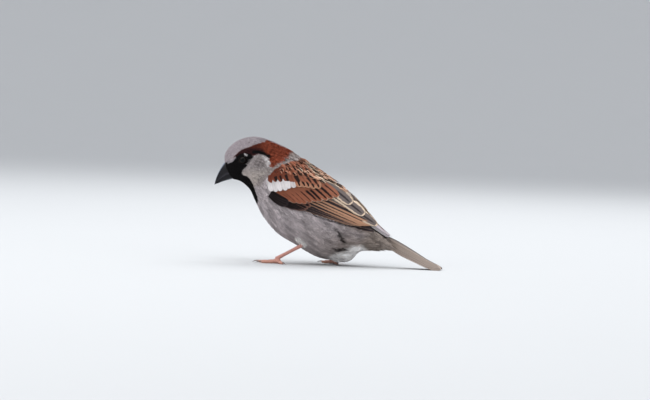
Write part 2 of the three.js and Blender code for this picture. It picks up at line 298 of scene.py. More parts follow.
def pathDistance(xz, path):
    # distance in mm to an open line
    a, b = np.asarray(path, float)[:-1], np.asarray(path, float)[1:]
    p = xz[:, None, :]
    d = b - a
    t = np.clip(((p - a) * d).sum(-1) / (d * d).sum(-1), 0, 1)
    return np.linalg.norm(p - a - t[..., None] * d, axis=-1).min(-1)


# the head's and back's marks in the side view, mm, and the colours of each
marks = {
    "mask": [(-50, 57), (-47.6, 58.6), (-42.7, 60.4), (-39.6, 62.6), (-36.8, 64.5), (-33.4, 65.0),
             (-30.2, 64.5),
             (-28.5, 62.9), (-30.6, 60.1), (-32.7, 56.6), (-35, 54.6), (-35.5, 52.3), (-34.5, 51.5),
             (-32.1, 50.9),
             (-30.1, 49), (-28.4, 46), (-27.6, 43.8), (-26.3, 40.5), (-25.2, 37.5), (-25.6, 35), (-30, 34),
             (-36, 40), (-42, 44), (-50, 46)],
    "crown": [(-52, 59), (-46, 58.6), (-43, 60.8), (-39.6, 64.3), (-36.7, 66.9), (-32.8, 68.5),
              (-29.1, 70.2),
              (-26, 71.3), (-23.4, 72.4), (-20, 80), (-52, 80)],
    "chestnut": [(-40.5, 63.2), (-39.6, 63.9), (-36.7, 66.7), (-32.8, 68.3), (-29.1, 70), (-26, 71.1),
                 (-23.4, 72.2),
                 (-21.5, 76), (-8, 73), (-5.9, 68.7), (-7.3, 64.8), (-9.8, 61.7), (-14.4, 58.4),
                 (-16.6, 56.8),
                 (-18.1, 57.5), (-19.3, 59.8), (-19.5, 63.2), (-21.5, 64.3), (-24.6, 65.0), (-28.8, 63.6),
                 (-33.1, 63.2), (-38.0, 62.6), (-41.6, 61.4)],
    "cheek": [(-25.1, 64.7), (-22.2, 63.9), (-19, 61.7), (-18, 59.9), (-18.6, 57.2), (-20.2, 53.6),
              (-24, 50.4),
              (-26.2, 46.9), (-27.6, 43.8), (-28.4, 46), (-30.1, 49), (-32.1, 50.9), (-34.5, 51.5),
              (-35.5, 52.3),
              (-35, 54.6), (-32.7, 56.6), (-30.6, 60.1), (-28.4, 62.9)],
    "mantle": [(-3.6, 60.6), (0.5, 63.5), (5, 66), (14, 60), (24, 53), (29, 48), (27, 42), (18, 40),
               (0, 45), (-12, 50), (-14.8, 53.8), (-10.6, 57.0)],
    "vent": [(17, 1), (19, 5.5), (24, 7.8), (29, 9.0), (32, 12.2), (38.5, 13.6), (43, 9), (40, 1), (30, -1)],
}
collarLine = [(-1.4, 65.0), (-5.8, 62.6), (-11.8, 58.6), (-18.0, 54.8), (-21.8, 51.3), (-24.8, 47.1)]
braceLines = [[(3.0, 60.0), (8.6, 55.0), (15, 48.6), (20.5, 42.6)], [(-1.0, 56.6), (5, 51.6), (12.5, 45.6)]]
# lines of painted shadow where the loose belly feathers part
gapShadows = [[(23.8, 21.8), (26.0, 18.5), (28.6, 14.6)], [(23.6, 9.8), (26.0, 10.0), (29.2, 10.6)]]
eyeSpot = {"x": -35.3, "y": 8.7, "z": 60.6, "radius": 2.9, "lidRadius": 2.45}

tint = {
    "wingTip": colour("b6abaf"),
    # the back's pale buff is lighter than the feathers' own, as a painted highlight on the back
    "backRufous": colour("91523b"), "backBuffAndHighlight": colour("d6ad93"), "lesser": colour("6c3728"),
    "browDark": colour("32191a"), "cheekLow": colour("bfb4ae"),
    "black": colour("0f0d0e"), "crown": colour("a79da1"), "crownRim": colour("c2b9be"),
    "chestnut": colour("83402d"), "chestnutDark": colour("4a2019"), "cheek": colour("a59c9b"),
    "cheekSmudge": colour("736a69"), "white": colour("d3cdcd"), "collar": colour("a29895"),
    "nape": colour("a59893"), "breast": colour("c2b8ba"), "belly": colour("b8adac"),
        "flank": colour("8c7e74"),
    "vent": colour("f7f3f1"), "down": colour("4a4446"), "rufous": colour("8f5a45"), "buff": colour("ba9175"),
    # the black of the streaks, also used as painted shadow in the belly's gaps and under the crossed wing
    # tips
    "cream": colour("dfc8b0"), "streakAndShadow": colour("1b1515"), "rump": colour("8a7d76"),
        "tail": colour("93877f"),
    "tailEdge": colour("c6b8ae"), "tailDark": colour("4b4244"), "leg": colour("c68f83"),
}


def plumage(p, s, turn):
    # base, core and edge colour and the width of the markings of a feather that shows at p
    x, y, z = p[:, 0], np.abs(p[:, 1]), p[:, 2]
    xz = p[:, [0, 2]]
    n = len(p)
    c = np.cos(turn)
    chance = (np.sin(x * 12.9898 + z * 78.233 + y * 37.7) * 43758.5453) % 1
    blend = lambda name, soft=0.5: smooth(-soft, soft, insideDepth(xz, marks[name]))
    tone = np.repeat(tint["breast"][None], n, 0)
    tone = mixed(tone, tint["belly"], smooth(7, 9.5, s) * smooth(0.2, -0.6, c))
    tone = mixed(tone, tint["flank"], smooth(8.8, 10.6, s) * 0.6 * smooth(0.5, -0.3, c))
    tone = mixed(tone, tint["nape"], smooth(0.1, 0.7, c) * smooth(4.3, 5.3, s))
    tone = mixed(tone, tint["rump"], smooth(8.7, 9.6, s) * smooth(0.0, 0.5, c))
    tone = mixed(tone, tint["tail"], smooth(11.0, 12.3, s))
    tone = mixed(tone, tint["vent"], blend("vent", 1.5))
    # painted shadow in the gaps between the belly feathers, in the streaks' black
    for line in gapShadows:
        tone = mixed(tone, tint["streakAndShadow"],
                     0.9 * smooth(1.6, 0.5, pathDistance(xz, line) + 0.7 * (chance - 0.5)))
    streaks = (np.sin(1.9 * turn * 9 + 1.3 * np.sin(s * 2.1)) + np.sin(turn * 31 + s * 1.7)
               + 1.2 * np.sin(s * 5.3 + turn * 7))
    tone = tone * (1 + 0.10 * streaks * smooth(4.5, 6, s))[:, None]
    mottle = np.sin(1.1 * x + 2 * np.sin(0.5 * z)) * np.sin(0.9 * z + 0.3 * x)
    tone = tone * (1 + 0.12 * mottle * smooth(8.0, 9.5, s))[:, None]
    core = tone * 0.78
    edge = np.minimum(tone * 1.08, 0.9)
    coreW = np.full(n, 0.18)
    edgeW = np.full(n, 0.28)
    mantle = blend("mantle", 0.8) * smooth(0.05, 0.25, c)
    # rufous to pale buff towards the rear, for the feathers and their edges: partly the mantle's own buff,
    # partly a painted highlight where the back catches the light
    rufous = mixed(np.repeat(tint["backRufous"][None], n, 0), tint["backBuffAndHighlight"],
                   0.20 + 0.7 * smooth(-2, 14, x) + 0.4 * (chance - 0.5))
    tone = mixed(tone, rufous, mantle)
    core = mixed(core, tint["streakAndShadow"], mantle)
    edge = mixed(edge, mixed(rufous, tint["backBuffAndHighlight"], 0.10 + 0.5 * smooth(-2, 14, x)), mantle)
    coreW = coreW * (1 - mantle) + mantle * (0.05 + 0.43 * (chance > 0.45))
    edgeW = edgeW * (1 - mantle) + mantle * 0.26
    for line in braceLines:
        brace = 0.75 * mantle * smooth(1.2, 0.7, pathDistance(xz, line))
        tone = mixed(tone, tint["cream"], brace)
        edge = mixed(edge, tint["cream"], brace)
        coreW = coreW * (1 - brace) + 0.46 * brace
    smear = np.clip(0.45 + 0.9 * np.sin(1.6 * x + 1.1 * z) * np.sin(2.1 * z - 0.8 * x + 1.0), 0, 1)
    layers = [
        (smooth(3.0, 1.2, pathDistance(xz, collarLine)) * smooth(3.5, 4.5, s) * (1 - mantle),
         tint["collar"]),
        (blend("chestnut") * (1 - smooth(2.8, 1.6, y) * smooth(-10, -14, x)), tint["chestnut"]),
        (blend("chestnut") * smooth(-21, -29, x) * 0.9, tint["chestnutDark"]),
        (blend("crown"), tint["crown"]),
        (smooth(2.8, 1.6, y) * smooth(-9, -14, x) * smooth(0.3, 0.8, c) * smooth(4.9, 4.3, s),
         tint["crown"]),
        (blend("cheek", 0.4), tint["cheek"]),
        (blend("cheek", 0.4) * smooth(57.5, 51.0, z), tint["cheekLow"]),
        (blend("cheek", 0.4) * smooth(5.0, 1.5, np.hypot(x + 24.8, (z - 59.3) * 1.2)) * smear,
         tint["cheekSmudge"]),
        (blend("cheek", 0.6) * smooth(2.2, 1.0, pathDistance(xz, [(-18.6, 58.5), (-19.0, 61.3),
                                                                  (-21.6, 63.0)])), tint["white"]),
        (smooth(3.6, 1.2, pathDistance(xz, [(-24.6, 65.4), (-28.8, 65.6), (-34.0, 66.0), (-39.0, 64.0)]))
         * blend("chestnut"), tint["browDark"]),
        (smooth(1.3, 0.6, pathDistance(xz, [(-19.0, 63.4), (-21.5, 64.7), (-24.6, 65.6), (-28.8, 65.8)])),
         tint["black"]),
        (blend("mask", 0.35), tint["black"]),
        (0.75 * smooth(0.8, 0.4, pathDistance(xz, [(-34.0, 64.3), (-32.7, 63.7)])), tint["white"]),
        (0.6 * smooth(0.9, 0.4, pathDistance(xz, [(-44.8, 58.9), (-42.2, 60.0), (-40.2, 62.0)])),
         tint["crownRim"]),
    ]
    for weight, paintColour in layers:
        tone = mixed(tone, paintColour, weight)
        core = mixed(core, paintColour * 0.75, weight)
        edge = mixed(edge, np.minimum(paintColour * 1.2, 0.9), weight)
        coreW = coreW * (1 - weight) + 0.16 * weight
    return tone, core, edge, coreW, edgeW


def plumageFinish():
    # streak, fringe and barbs of one feather from its own attributes: vane holds the place
    # along it, across it and its length over half its width; shape holds core width, edge
    # width, core end and core start
    look = {"barbsPerMm": 3.4, "barbDark": 0.94, "rootDark": 0.72, "grain": 0.08}
    f = Finish("plumage", Roughness=0.8, Specular_IOR_Level=0.06, Sheen_Weight=0.01, Sheen_Roughness=0.5)
    u, v, slim = f.parts(f.attribute("vane").outputs["Vector"])[:3]
    base, core, edge = [f.attribute(k) for k in ("base", "core", "edge")]
    shape = f.attribute("shape")
    widths = f.parts(shape.outputs["Vector"])
    ragged = f.math("MULTIPLY_ADD", f.noise(f.place(), 900.0, 2.0), 0.34, -0.17)
    ragged = f.math("MULTIPLY", ragged, f.math("MINIMUM", 1.0, f.math("DIVIDE", 5.0, slim)))
    across = f.math("ADD", f.math("ABSOLUTE", v), ragged)
    narrowing = f.math("SUBTRACT", widths[0],
                       f.math("MULTIPLY", f.math("MULTIPLY", u, u), f.math("MULTIPLY", widths[0], 0.35)))
    inCore = f.span(f.math("SUBTRACT", narrowing, across), -0.07, 0.07)
    inCore = f.math("MULTIPLY", inCore, f.span(f.math("SUBTRACT", widths[2], u), -0.05, 0.05))
    inCore = f.math("MULTIPLY", inCore, f.span(f.math("SUBTRACT", u, shape.outputs["Alpha"]), -0.06, 0.06))
    toEdge = f.math("MINIMUM", f.math("SUBTRACT", 1.0, across),
                    f.math("MULTIPLY", f.math("SUBTRACT", 1.0, u), slim))
    inEdge = f.span(f.math("SUBTRACT", widths[1], toEdge), -0.08, 0.08)
    tone = f.mix(inCore, base.outputs["Color"], core.outputs["Color"])
    tone = f.mix(inEdge, tone, edge.outputs["Color"])
    length = base.outputs["Alpha"]
    phase = f.math("ADD", f.math("MULTIPLY", u, length), f.math("MULTIPLY", across, -1.1))
    stripe = f.math("SINE", f.math("MULTIPLY", phase, 6.283 * look["barbsPerMm"]))
    shade = f.span(stripe, -1.0, 1.0, look["barbDark"], 1.0)
    shade = f.math("MULTIPLY", shade, f.span(u, 0.15, 0.75, look["rootDark"], 1.0))
    grain = f.math("MULTIPLY_ADD", f.noise(f.place(), 350.0, 4.0, 0.65), 2 * look["grain"],
                   1 - look["grain"])
    shade = f.math("MULTIPLY", shade, grain)
    shaft = f.span(f.math("ABSOLUTE", v), 0.02, 0.09, 0.8, 1.0)
    shade = f.math("MULTIPLY", shade, shaft)
    grey = f.add("ShaderNodeCombineColor", {0: shade, 1: shade, 2: shade})
    f.put(f.shader.inputs["Base Color"], f.mix(1.0, tone, grey.outputs[0], "MULTIPLY"))
    f.bump(f.math("ADD", stripe, f.math("MULTIPLY", shaft, -1.5)), 0.22, 0.00006)
    return f.material


def barbFinish():
    # one fine barb: its own colour, a little darker at the root
    f = Finish("barbs", Roughness=0.8, Specular_IOR_Level=0.06, Sheen_Weight=0.01, Sheen_Roughness=0.5)
    u = f.parts(f.attribute("vane").outputs["Vector"])[0]
    grain = f.math("MULTIPLY_ADD", f.noise(f.place(), 700.0), 0.3, 0.85)
    shade = f.math("MULTIPLY", grain, f.span(u, 0.0, 0.7, 0.8, 1.05))
    grey = f.add("ShaderNodeCombineColor", {0: shade, 1: shade, 2: shade})
    f.put(f.shader.inputs["Base Color"],
          f.mix(1.0, f.attribute("base").outputs["Color"], grey.outputs[0], "MULTIPLY"))
    return f.material


def skinFinish():
    # feathered skin in its own colours, and the pebbled, scaled skin of the legs
    f = Finish("skin", Roughness=0.62, Specular_IOR_Level=0.18, Subsurface_Weight=0.0)
    base = f.attribute("base")
    place = f.place()
    fine = f.noise(place, 1500.0, 3.0, 0.6)
    wide = f.noise(place, 260.0, 3.0, 0.6)
    cells = f.add("ShaderNodeTexVoronoi", {"Vector": place, "Scale": 1700.0}, feature="DISTANCE_TO_EDGE")
    crease = f.span(cells.outputs["Distance"], 0.0, 0.12)
    shade = f.math("MULTIPLY_ADD", wide, 0.5, 0.72)
    shade = f.math("MULTIPLY", shade, f.math("MULTIPLY_ADD", crease, 0.14, 0.86))
    grey = f.add("ShaderNodeCombineColor", {0: shade, 1: shade, 2: shade})
    f.put(f.shader.inputs["Base Color"], f.mix(1.0, base.outputs["Color"], grey.outputs[0], "MULTIPLY"))
    f.put(f.shader.inputs["Roughness"], f.math("MULTIPLY_ADD", fine, 0.3, 0.42))
    f.bump(f.math("ADD", crease, f.math("MULTIPLY", fine, 0.6)), 0.5, 0.00008)
    return f.material


def hornFinish(name, roughness, specular, bumpStrength):
    # keratin in the colours of its points, with fine growth lines along it
    f = Finish(name, Specular_IOR_Level=specular, Coat_Weight=0.05, Coat_Roughness=0.25)
    base = f.attribute("base")
    run = f.parts(f.attribute("vane").outputs["Vector"])
    place = f.place()
    cloud = f.noise(place, 420.0, 5.0, 0.65)
    stretched = f.add("ShaderNodeCombineXYZ",
                      {0: f.math("MULTIPLY", run[0], 5.0), 1: f.math("MULTIPLY", run[1], 60.0), 2: 0.0})
    lines = f.noise(stretched.outputs[0], 1.0, 3.0, 0.6)
    shade = f.math("MULTIPLY_ADD", cloud, 0.5, 0.74)
    grey = f.add("ShaderNodeCombineColor", {0: shade, 1: shade, 2: shade})
    f.put(f.shader.inputs["Base Color"], f.mix(1.0, base.outputs["Color"], grey.outputs[0], "MULTIPLY"))
    f.put(f.shader.inputs["Roughness"], f.math("MULTIPLY_ADD", lines, 0.22, roughness - 0.11))
    f.bump(f.math("ADD", lines, f.math("MULTIPLY", cloud, 0.5)), bumpStrength, 0.0001)
    return f.material


def eyeFinish():
    # wet dark eye: black pupil, dark brown iris by the angle from the eye's own axis
    f = Finish("eyeball", Roughness=0.06, Specular_IOR_Level=0.07, Coat_Weight=0.08, Coat_Roughness=0.03)
    ring = f.parts(f.attribute("vane").outputs["Vector"])[0]
    fibre = f.noise(f.place(), 2600.0, 4.0, 0.7)
    iris = f.mix(fibre, (0.003, 0.002, 0.0016, 1), (0.011, 0.006, 0.004, 1))
    tone = f.mix(f.span(ring, 0.30, 0.36), (0.0012, 0.0012, 0.0015, 1), iris)
    f.put(f.shader.inputs["Base Color"], f.mix(f.span(ring, 0.62, 0.85), tone, (0.003, 0.0025, 0.0025, 1)))
    return f.material


plumageLook, barbLook, skinLook = plumageFinish(), barbFinish(), skinFinish()


def rgba(c, alpha=1.0):
    c = np.asarray(c, float)
    return np.concatenate([c, np.broadcast_to(np.asarray(alpha, float), c.shape[:-1])[..., None]], -1)


def spread(lo, hi, count, peaks):
    # count places between lo and hi, closer together round each (place, width, gain) peak
    t = np.linspace(lo, hi, 4000)
    density = 1 + sum(gain * np.exp(-((t - at) / width) ** 2) for at, width, gain in peaks)
    total = np.concatenate([[0], np.cumsum((density[1:] + density[:-1]) / 2)])
    return np.interp(np.linspace(0, total[-1], count), total, t)


# the eye's place on the body's own grid
eyeS, eyeCos = sideCoordinates(eyeSpot["x"], eyeSpot["z"])
eyeS, eyeTurn = float(eyeS), float(np.arccos(eyeCos))


def eyeRing(p):
    # distance from the eye's middle in its own plane, over the lid's radius
    dx, dz = p[..., 0] - eyeSpot["x"], p[..., 2] - eyeSpot["z"]
    return np.hypot(dx * 0.96, dz * 1.05) / eyeSpot["lidRadius"]


def skinForm(s, turn):
    # body form less the coat's depth; at the eye it dips under the eyeball inside the lid,
    # stands up as the lid's rim and falls away in a shallow fold behind it
    lift = -threeWay(coatDepth, s, turn)
    r = eyeRing(bodyPoint(s, turn))
    rim = 0.62 * np.exp(-((r - 1.10) / 0.13) ** 2) + 0.22 * np.exp(-((r - 1.42) / 0.10) ** 2)
    dip = -3.2 * smooth(1.02, 0.84, r)
    near = smooth(2.4, 1.6, r)
    return bodyPoint(s, turn, lift + near * (rim + dip))


def buildBody():
    lay = {"along": 276, "around": 240}
    s = spread(0.02, skinEnd, lay["along"], [(eyeS, 0.42, 3.4)])
    turn = spread(-math.pi, math.pi, lay["around"] + 1, [(eyeTurn, 0.3, 3.0), (-eyeTurn, 0.3, 3.0)])[:-1]
    grid = skinForm(*np.meshgrid(s, turn, indexing="ij"))
    return makeMesh("skinBody", tubePoints(grid), tubeFaces(lay["along"], lay["around"]))


def tube(path, radii, rings, columns, flatten=1.0, up=(0, 0, 1)):
    # a round profile carried along a smooth path, its ends drawn in to round caps
    t = np.linspace(0, 1, rings)
    cap = 0.10
    ease = np.sqrt(np.clip(1 - np.clip((cap - np.minimum(t, 1 - t)) / cap, 0, 1) ** 2, 0.02, 1))
    path = np.asarray(path, float)
    middle = along(path, t * (len(path) - 1))
    radius = along(np.asarray(radii, float)[:, None], t * (len(radii) - 1))[:, 0] * ease
    tangent = unit(np.gradient(middle, axis=0))
    side = unit(np.cross(tangent, up))
    top = np.cross(side, tangent)
    turn = np.linspace(0, 2 * math.pi, columns, endpoint=False)
    ring = (radius[:, None, None] * (np.cos(turn)[None, :, None] * side[:, None]
                                     + flatten * np.sin(turn)[None, :, None] * top[:, None]))
    return tubePoints(middle[:, None] + ring), tubeFaces(rings, columns)


# legs in mm, as in the solids: joints, radii, heading of the foot and the four toes
legs = {
    "left": {"side": -1, "knee": (-4.5, -10.5, 26), "ankle": (4.6, -12, 12.8), "foot": (-12, -12),
             "heading": 14, "splay": 44},
    "right": {"side": 1, "knee": (24, 9.5, 24.5), "ankle": (34, 11.5, 13.4), "foot": (19.4, 12),
              "heading": -58, "splay": -14},
}
legForm = {"knee": 5.0, "ankleFlesh": 1.45, "ankle": 1.38, "shaft": 1.02, "foot": 1.35, "pad": 1.75,
           "endZ": 3.2,
           "toeBase": 1.12, "toeTip": 0.80, "toeAxisZ": 0.80, "toeRiseZ": 1.75, "voxel": 0.2, "scute": 1.15,
           "scuteDepth": 0.085}
toes = {1: (180, 8.0, 4.6), 2: (34, 9.0, 3.4), 3: (0, 12.0, 3.8), 4: (-30, 9.4, 3.2)}
clawPath = [(0.0, 0.95), (0.18, 1.10), (0.35, 1.12), (0.7, 0.85), (1.0, 0.22)]


def toeWay(leg, number):
    # level direction of a toe, from the foot's heading and the toe's own turn
    turn = toes[number][0] + leg["heading"] + (leg["splay"] if number == 1 else 0)
    angle = math.radians(turn) * -leg["side"]
    return np.array([-math.cos(angle), math.sin(angle), 0.0])


def legTubes(leg):
    foot = np.array([*leg["foot"], 0.0])
    knee, ankle = np.array(leg["knee"], float), np.array(leg["ankle"], float)
    end = foot + (0, 0, legForm["endZ"])
    bend = (knee + ankle) / 2 + (0.6, 0, -0.6)
    out = [tube([knee, bend, ankle + (0, 0, 0.2)], [legForm["knee"], 3.1, legForm["ankleFlesh"]], 40, 32)]
    shin = [ankle + unit(ankle - end) * 0.9, ankle, (ankle * 2 + end) / 3, (ankle + end * 2) / 3, end,
            end + unit(end - ankle) * 1.0]
    out.append(tube(shin, [1.15, legForm["ankle"], 1.06, legForm["shaft"], 1.2, legForm["foot"]], 60, 32))
    heading = toeWay(leg, 3)
    out.append(tube([foot - heading * 2.0 + (0, 0, 1.35), foot + (0, 0, 1.7),
                     foot + heading * 2.2 + (0, 0, 1.3)],
                    [1.25, legForm["pad"], 1.35], 24, 32, 0.9))
    for number, (_, length, _) in toes.items():
        way = toeWay(leg, number)
        t = np.linspace(0, 1, 13)
        rise = legForm["toeAxisZ"] + (legForm["toeRiseZ"] - legForm["toeAxisZ"]) * (1 - t) ** 2.2
        reach = t * (length + 0.4)
        joints = 3 if number != 1 else 2
        girth = legForm["toeBase"] + (legForm["toeTip"] - legForm["toeBase"]) * t
        girth = girth * (1 + 0.10 * np.cos(2 * math.pi * joints * t))
        path = foot + reach[:, None] * way + rise[:, None] * np.array([0, 0, 1.0])
        out.append(tube(path, girth, 70, 28, 0.96))
    return out


def scutes(p, leg):
    # overlapping scales: a saw tooth of height along the shin and along each toe, strongest
    # on the front and top, fading to pebbles on the sole
    foot = np.array([*leg["foot"], 0.0])
    ankle = np.array(leg["ankle"], float)
    shin = foot + (0, 0, legForm["endZ"]) - ankle
    length = np.linalg.norm(shin)
    run = ((p - ankle) * shin).sum(-1) / length
    offAxis = np.linalg.norm(p - ankle - run[:, None] * shin / length, axis=-1)
    onShin = (run > -0.5) & (run < length - 0.4) & (offAxis < 2.2) & (p[:, 2] > 3.0)
    place = run / 1.9
    amount = np.where(onShin, 0.9, 0.0)
    for number in toes:
        way = toeWay(leg, number)
        q = p - foot
        run = (q * way).sum(-1)
        off = np.linalg.norm((q - run[:, None] * way)[:, :2], axis=-1)
        onToe = (~onShin) & (run > 1.4) & (off < 1.5) & (p[:, 2] < 3.4)
        place = np.where(onToe, run / legForm["scute"], place)
        amount = np.where(onToe, smooth(0.5, 1.1, p[:, 2]), amount)
    tooth = place - np.floor(place)
    groove = smooth(0.0, 0.22, tooth) * smooth(1.0, 0.9, tooth)
    return amount * (groove - 1) * legForm["scuteDepth"]


def joinTubes(name, tubes):
    # closed shells that overlap, put in one mesh
    start, points, faces = 0, [], []
    for p, faceSets in tubes:
        points.append(p)
        faces += [f + start for f in faceSets]
        start += len(p)
    return makeMesh(name, np.concatenate(points), faces)


def baked(piece, name):
    # the piece's mesh with its modifiers applied
    graph = bpy.context.evaluated_depsgraph_get()
    mesh = bpy.data.meshes.new_from_object(piece.evaluated_get(graph))
    mesh.name = name
    old = piece.data
    piece.modifiers.clear()
    piece.data = mesh
    bpy.data.meshes.remove(old)
    return piece


def meshPoints(mesh, key="co"):
    out = np.empty(len(mesh.vertices) * 3, np.float32)
    if key == "co":
        mesh.vertices.foreach_get("co", out)
    else:
        mesh.vertex_normals.foreach_get("vector", out)
    return out.reshape(-1, 3).astype(float)


def buildSkin():
    body = buildBody()
    for side, leg in legs.items():
        piece = joinTubes("leg_" + side, legTubes(leg))
        remesh = piece.modifiers.new("one", "REMESH")
        remesh.mode, remesh.voxel_size, remesh.use_smooth_shade = "VOXEL", legForm["voxel"] * mm, True
        baked(piece, "leg_" + side)
        soften = piece.modifiers.new("soft", "SMOOTH")
        soften.factor, soften.iterations = 0.5, 3
        baked(piece, "leg_" + side)
        p = meshPoints(piece.data) / mm - (shiftX, shiftY, 0)
        p = p + meshPoints(piece.data, "normal") * scutes(p, leg)[:, None]
        p[:, 2] = np.maximum(p[:, 2], 0.02)
        piece.data.vertices.foreach_set("co", toModel(p).astype(np.float32).ravel())
        piece.data.update()
        union = body.modifiers.new("leg", "BOOLEAN")
        union.operation, union.solver, union.object = "UNION", "EXACT", piece
    baked(body, "skin")
    for side in legs:
        bpy.data.objects.remove(bpy.data.objects["leg_" + side])
    body.name = "skin"
    mesh = body.data
    mesh.polygons.foreach_set("use_smooth", np.ones(len(mesh.polygons), bool))
    p = meshPoints(mesh) / mm - (shiftX, shiftY, 0)
    s, c = sideCoordinates(p[:, 0], p[:, 2])
    width = along(bodyStations, s)[:, 4]
    outside = c * c + (p[:, 1] / width) ** 2
    turn = np.arctan2(p[:, 1] / width, c)
    tone = plumage(p, s, turn)[0] * 0.62
    onLeg = smooth(0.98, 1.02, outside) * (p[:, 2] < 27) * (s < 13.2)
    pink = mixed(np.repeat(tint["leg"][None], len(p), 0), colour("d9a58f"), smooth(3.0, 1.0, p[:, 2]) * 0.5)
    pink = mixed(pink, colour("a86a58"), 0.6 * smooth(0.6, 0.1, p[:, 2]))
    tone = mixed(tone, pink, onLeg)
    lid = smooth(1.62, 1.35, eyeRing(p)) * (np.abs(p[:, 1]) > 6)
    tone = mixed(tone, colour("0f0d0e"), lid)
    paint(mesh, {"base": rgba(tone)})
    mesh.materials.clear()
    mesh.materials.append(skinLook)
    uv = skinPatch(s, turn)
    layer = mesh.uv_layers.new(name="OFBake")
    corner = np.empty(len(mesh.loops), np.int32)
    mesh.loops.foreach_get("vertex_index", corner)
    layer.data.foreach_set("uv", uv[corner].astype(np.float32).ravel())
    return body


def skinPatch(s, turn):
    # unwrap of the skin: once round it across, bill to tail upwards
    return np.stack([0.02 + 0.96 * (turn + math.pi) / (2 * math.pi), 0.02 + 0.96 * s / 14], -1)


skin = buildSkin()
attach(skin, "root")
fleshNodes = ["head", "neck", "trunk"] + [f"{part}_{side}" for part in ("thigh", "tarsus") for side in legs]
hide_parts(*fleshNodes, *[f"toe_{side}_{k}" for side in legs for k in toes])
print("skin", len(skin.data.polygons), "faces")

# culmen x, z; cutting edge x, z; lower edge x, z; half widths of the upper and lower half
billStations = np.array([
    (-46.4, 60.3, -42.0, 53.1, -41.0, 49.7, 4.0, 3.6), (-47.0, 60.0, -42.6, 52.9, -41.6, 49.6, 4.1, 3.7),
    (-48.4, 58.3, -44.5, 52.0, -43.6, 48.9, 4.0, 3.6), (-50.3, 55.2, -47.4, 50.7, -46.7, 47.9, 3.3, 2.9),
    (-52.1, 51.4, -50.1, 48.9, -49.6, 46.9, 2.3, 2.0), (-53.2, 48.2, -52.1, 47.1, -51.6, 46.0, 1.3, 1.1),
    (-53.9, 45.0, -53.6, 45.2, -53.0, 45.5, 0.35, 0.30),
])


def buildBill(upper):
    # half oval sections standing on the cutting edge; a dimple makes the nostril
    lay = {"rings": 90, "columns": 56, "gap": 0.06}
    rows = along(billStations, np.linspace(0, len(billStations) - 1, lay["rings"]))
    edgeAt = rows[:, 2:4]
    far = rows[:, 0:2] if upper else rows[:, 4:6]
    half = rows[:, 6] if upper else rows[:, 7]
    turn = np.linspace(0, 2 * math.pi, lay["columns"], endpoint=False)
    c, sn = np.cos(turn), np.sin(turn)
    arch = np.where(c > 0, np.abs(c) ** 0.92, -0.06 * np.abs(c))
    way = far - edgeAt
    gap = unit(way) * lay["gap"]
    inPlane = edgeAt[:, None] + gap[:, None] + way[:, None] * arch[None, :, None]
    width = (half[:, None] * np.sign(sn)
             * np.abs(sn) ** 0.85 * (1 + (0.05 if upper else -0.02) * smooth(0.35, 0.0, np.abs(c))))
    grid = np.stack([inPlane[..., 0], width, inPlane[..., 1]], -1)
    if upper:
        spot = np.array([-46.9, 2.5, 57.2])
        off = grid - spot * np.where(grid[..., 1:2] < 0, (1, -1, 1), (1, 1, 1))
        hole = np.exp(-(off[..., 0] / 0.55) ** 2 - (off[..., 2] / 0.45) ** 2)
        grid[..., 1] -= np.sign(grid[..., 1]) * 0.5 * hole
    t = np.linspace(0, 1, lay["rings"])[:, None] * np.ones_like(c)
    tone = np.broadcast_to(colour("17161a"), grid.shape)
    # painted highlight: a pale blue-grey stripe along the top of the upper bill, and a faint one along the
    # underside of the lower bill
    ridgeHighlight = smooth(0.80, 0.99, c)[None] * smooth(0.02, 0.2, t) * (1.0 if upper else 0.25)
    tone = mixed(tone, colour("9aa5b8"), 0.8 * ridgeHighlight)
    tomia = smooth(0.16, 0.04, np.abs(c))[None] * smooth(0.98, 0.8, t)
    tone = mixed(tone, colour("4a494f"), 0.5 * tomia)
    vane = np.stack([t, np.broadcast_to(turn / 6.28, t.shape), t * 0], -1)
    name = "billUpper" if upper else "billLower"
    piece = makeMesh(name, tubePoints(grid), tubeFaces(lay["rings"], lay["columns"]), flip=upper,
                     attributes={"base": tubePoints(rgba(tone)), "vane": tubePoints(vane)},
                     material=billLook)
    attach(piece, "root")
    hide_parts("bill_upper" if upper else "bill_lower")


billLook = hornFinish("billHorn", 0.42, 0.16, 0.25)
buildBill(True)
buildBill(False)

clawLook = hornFinish("clawHorn", 0.4, 0.45, 0.3)


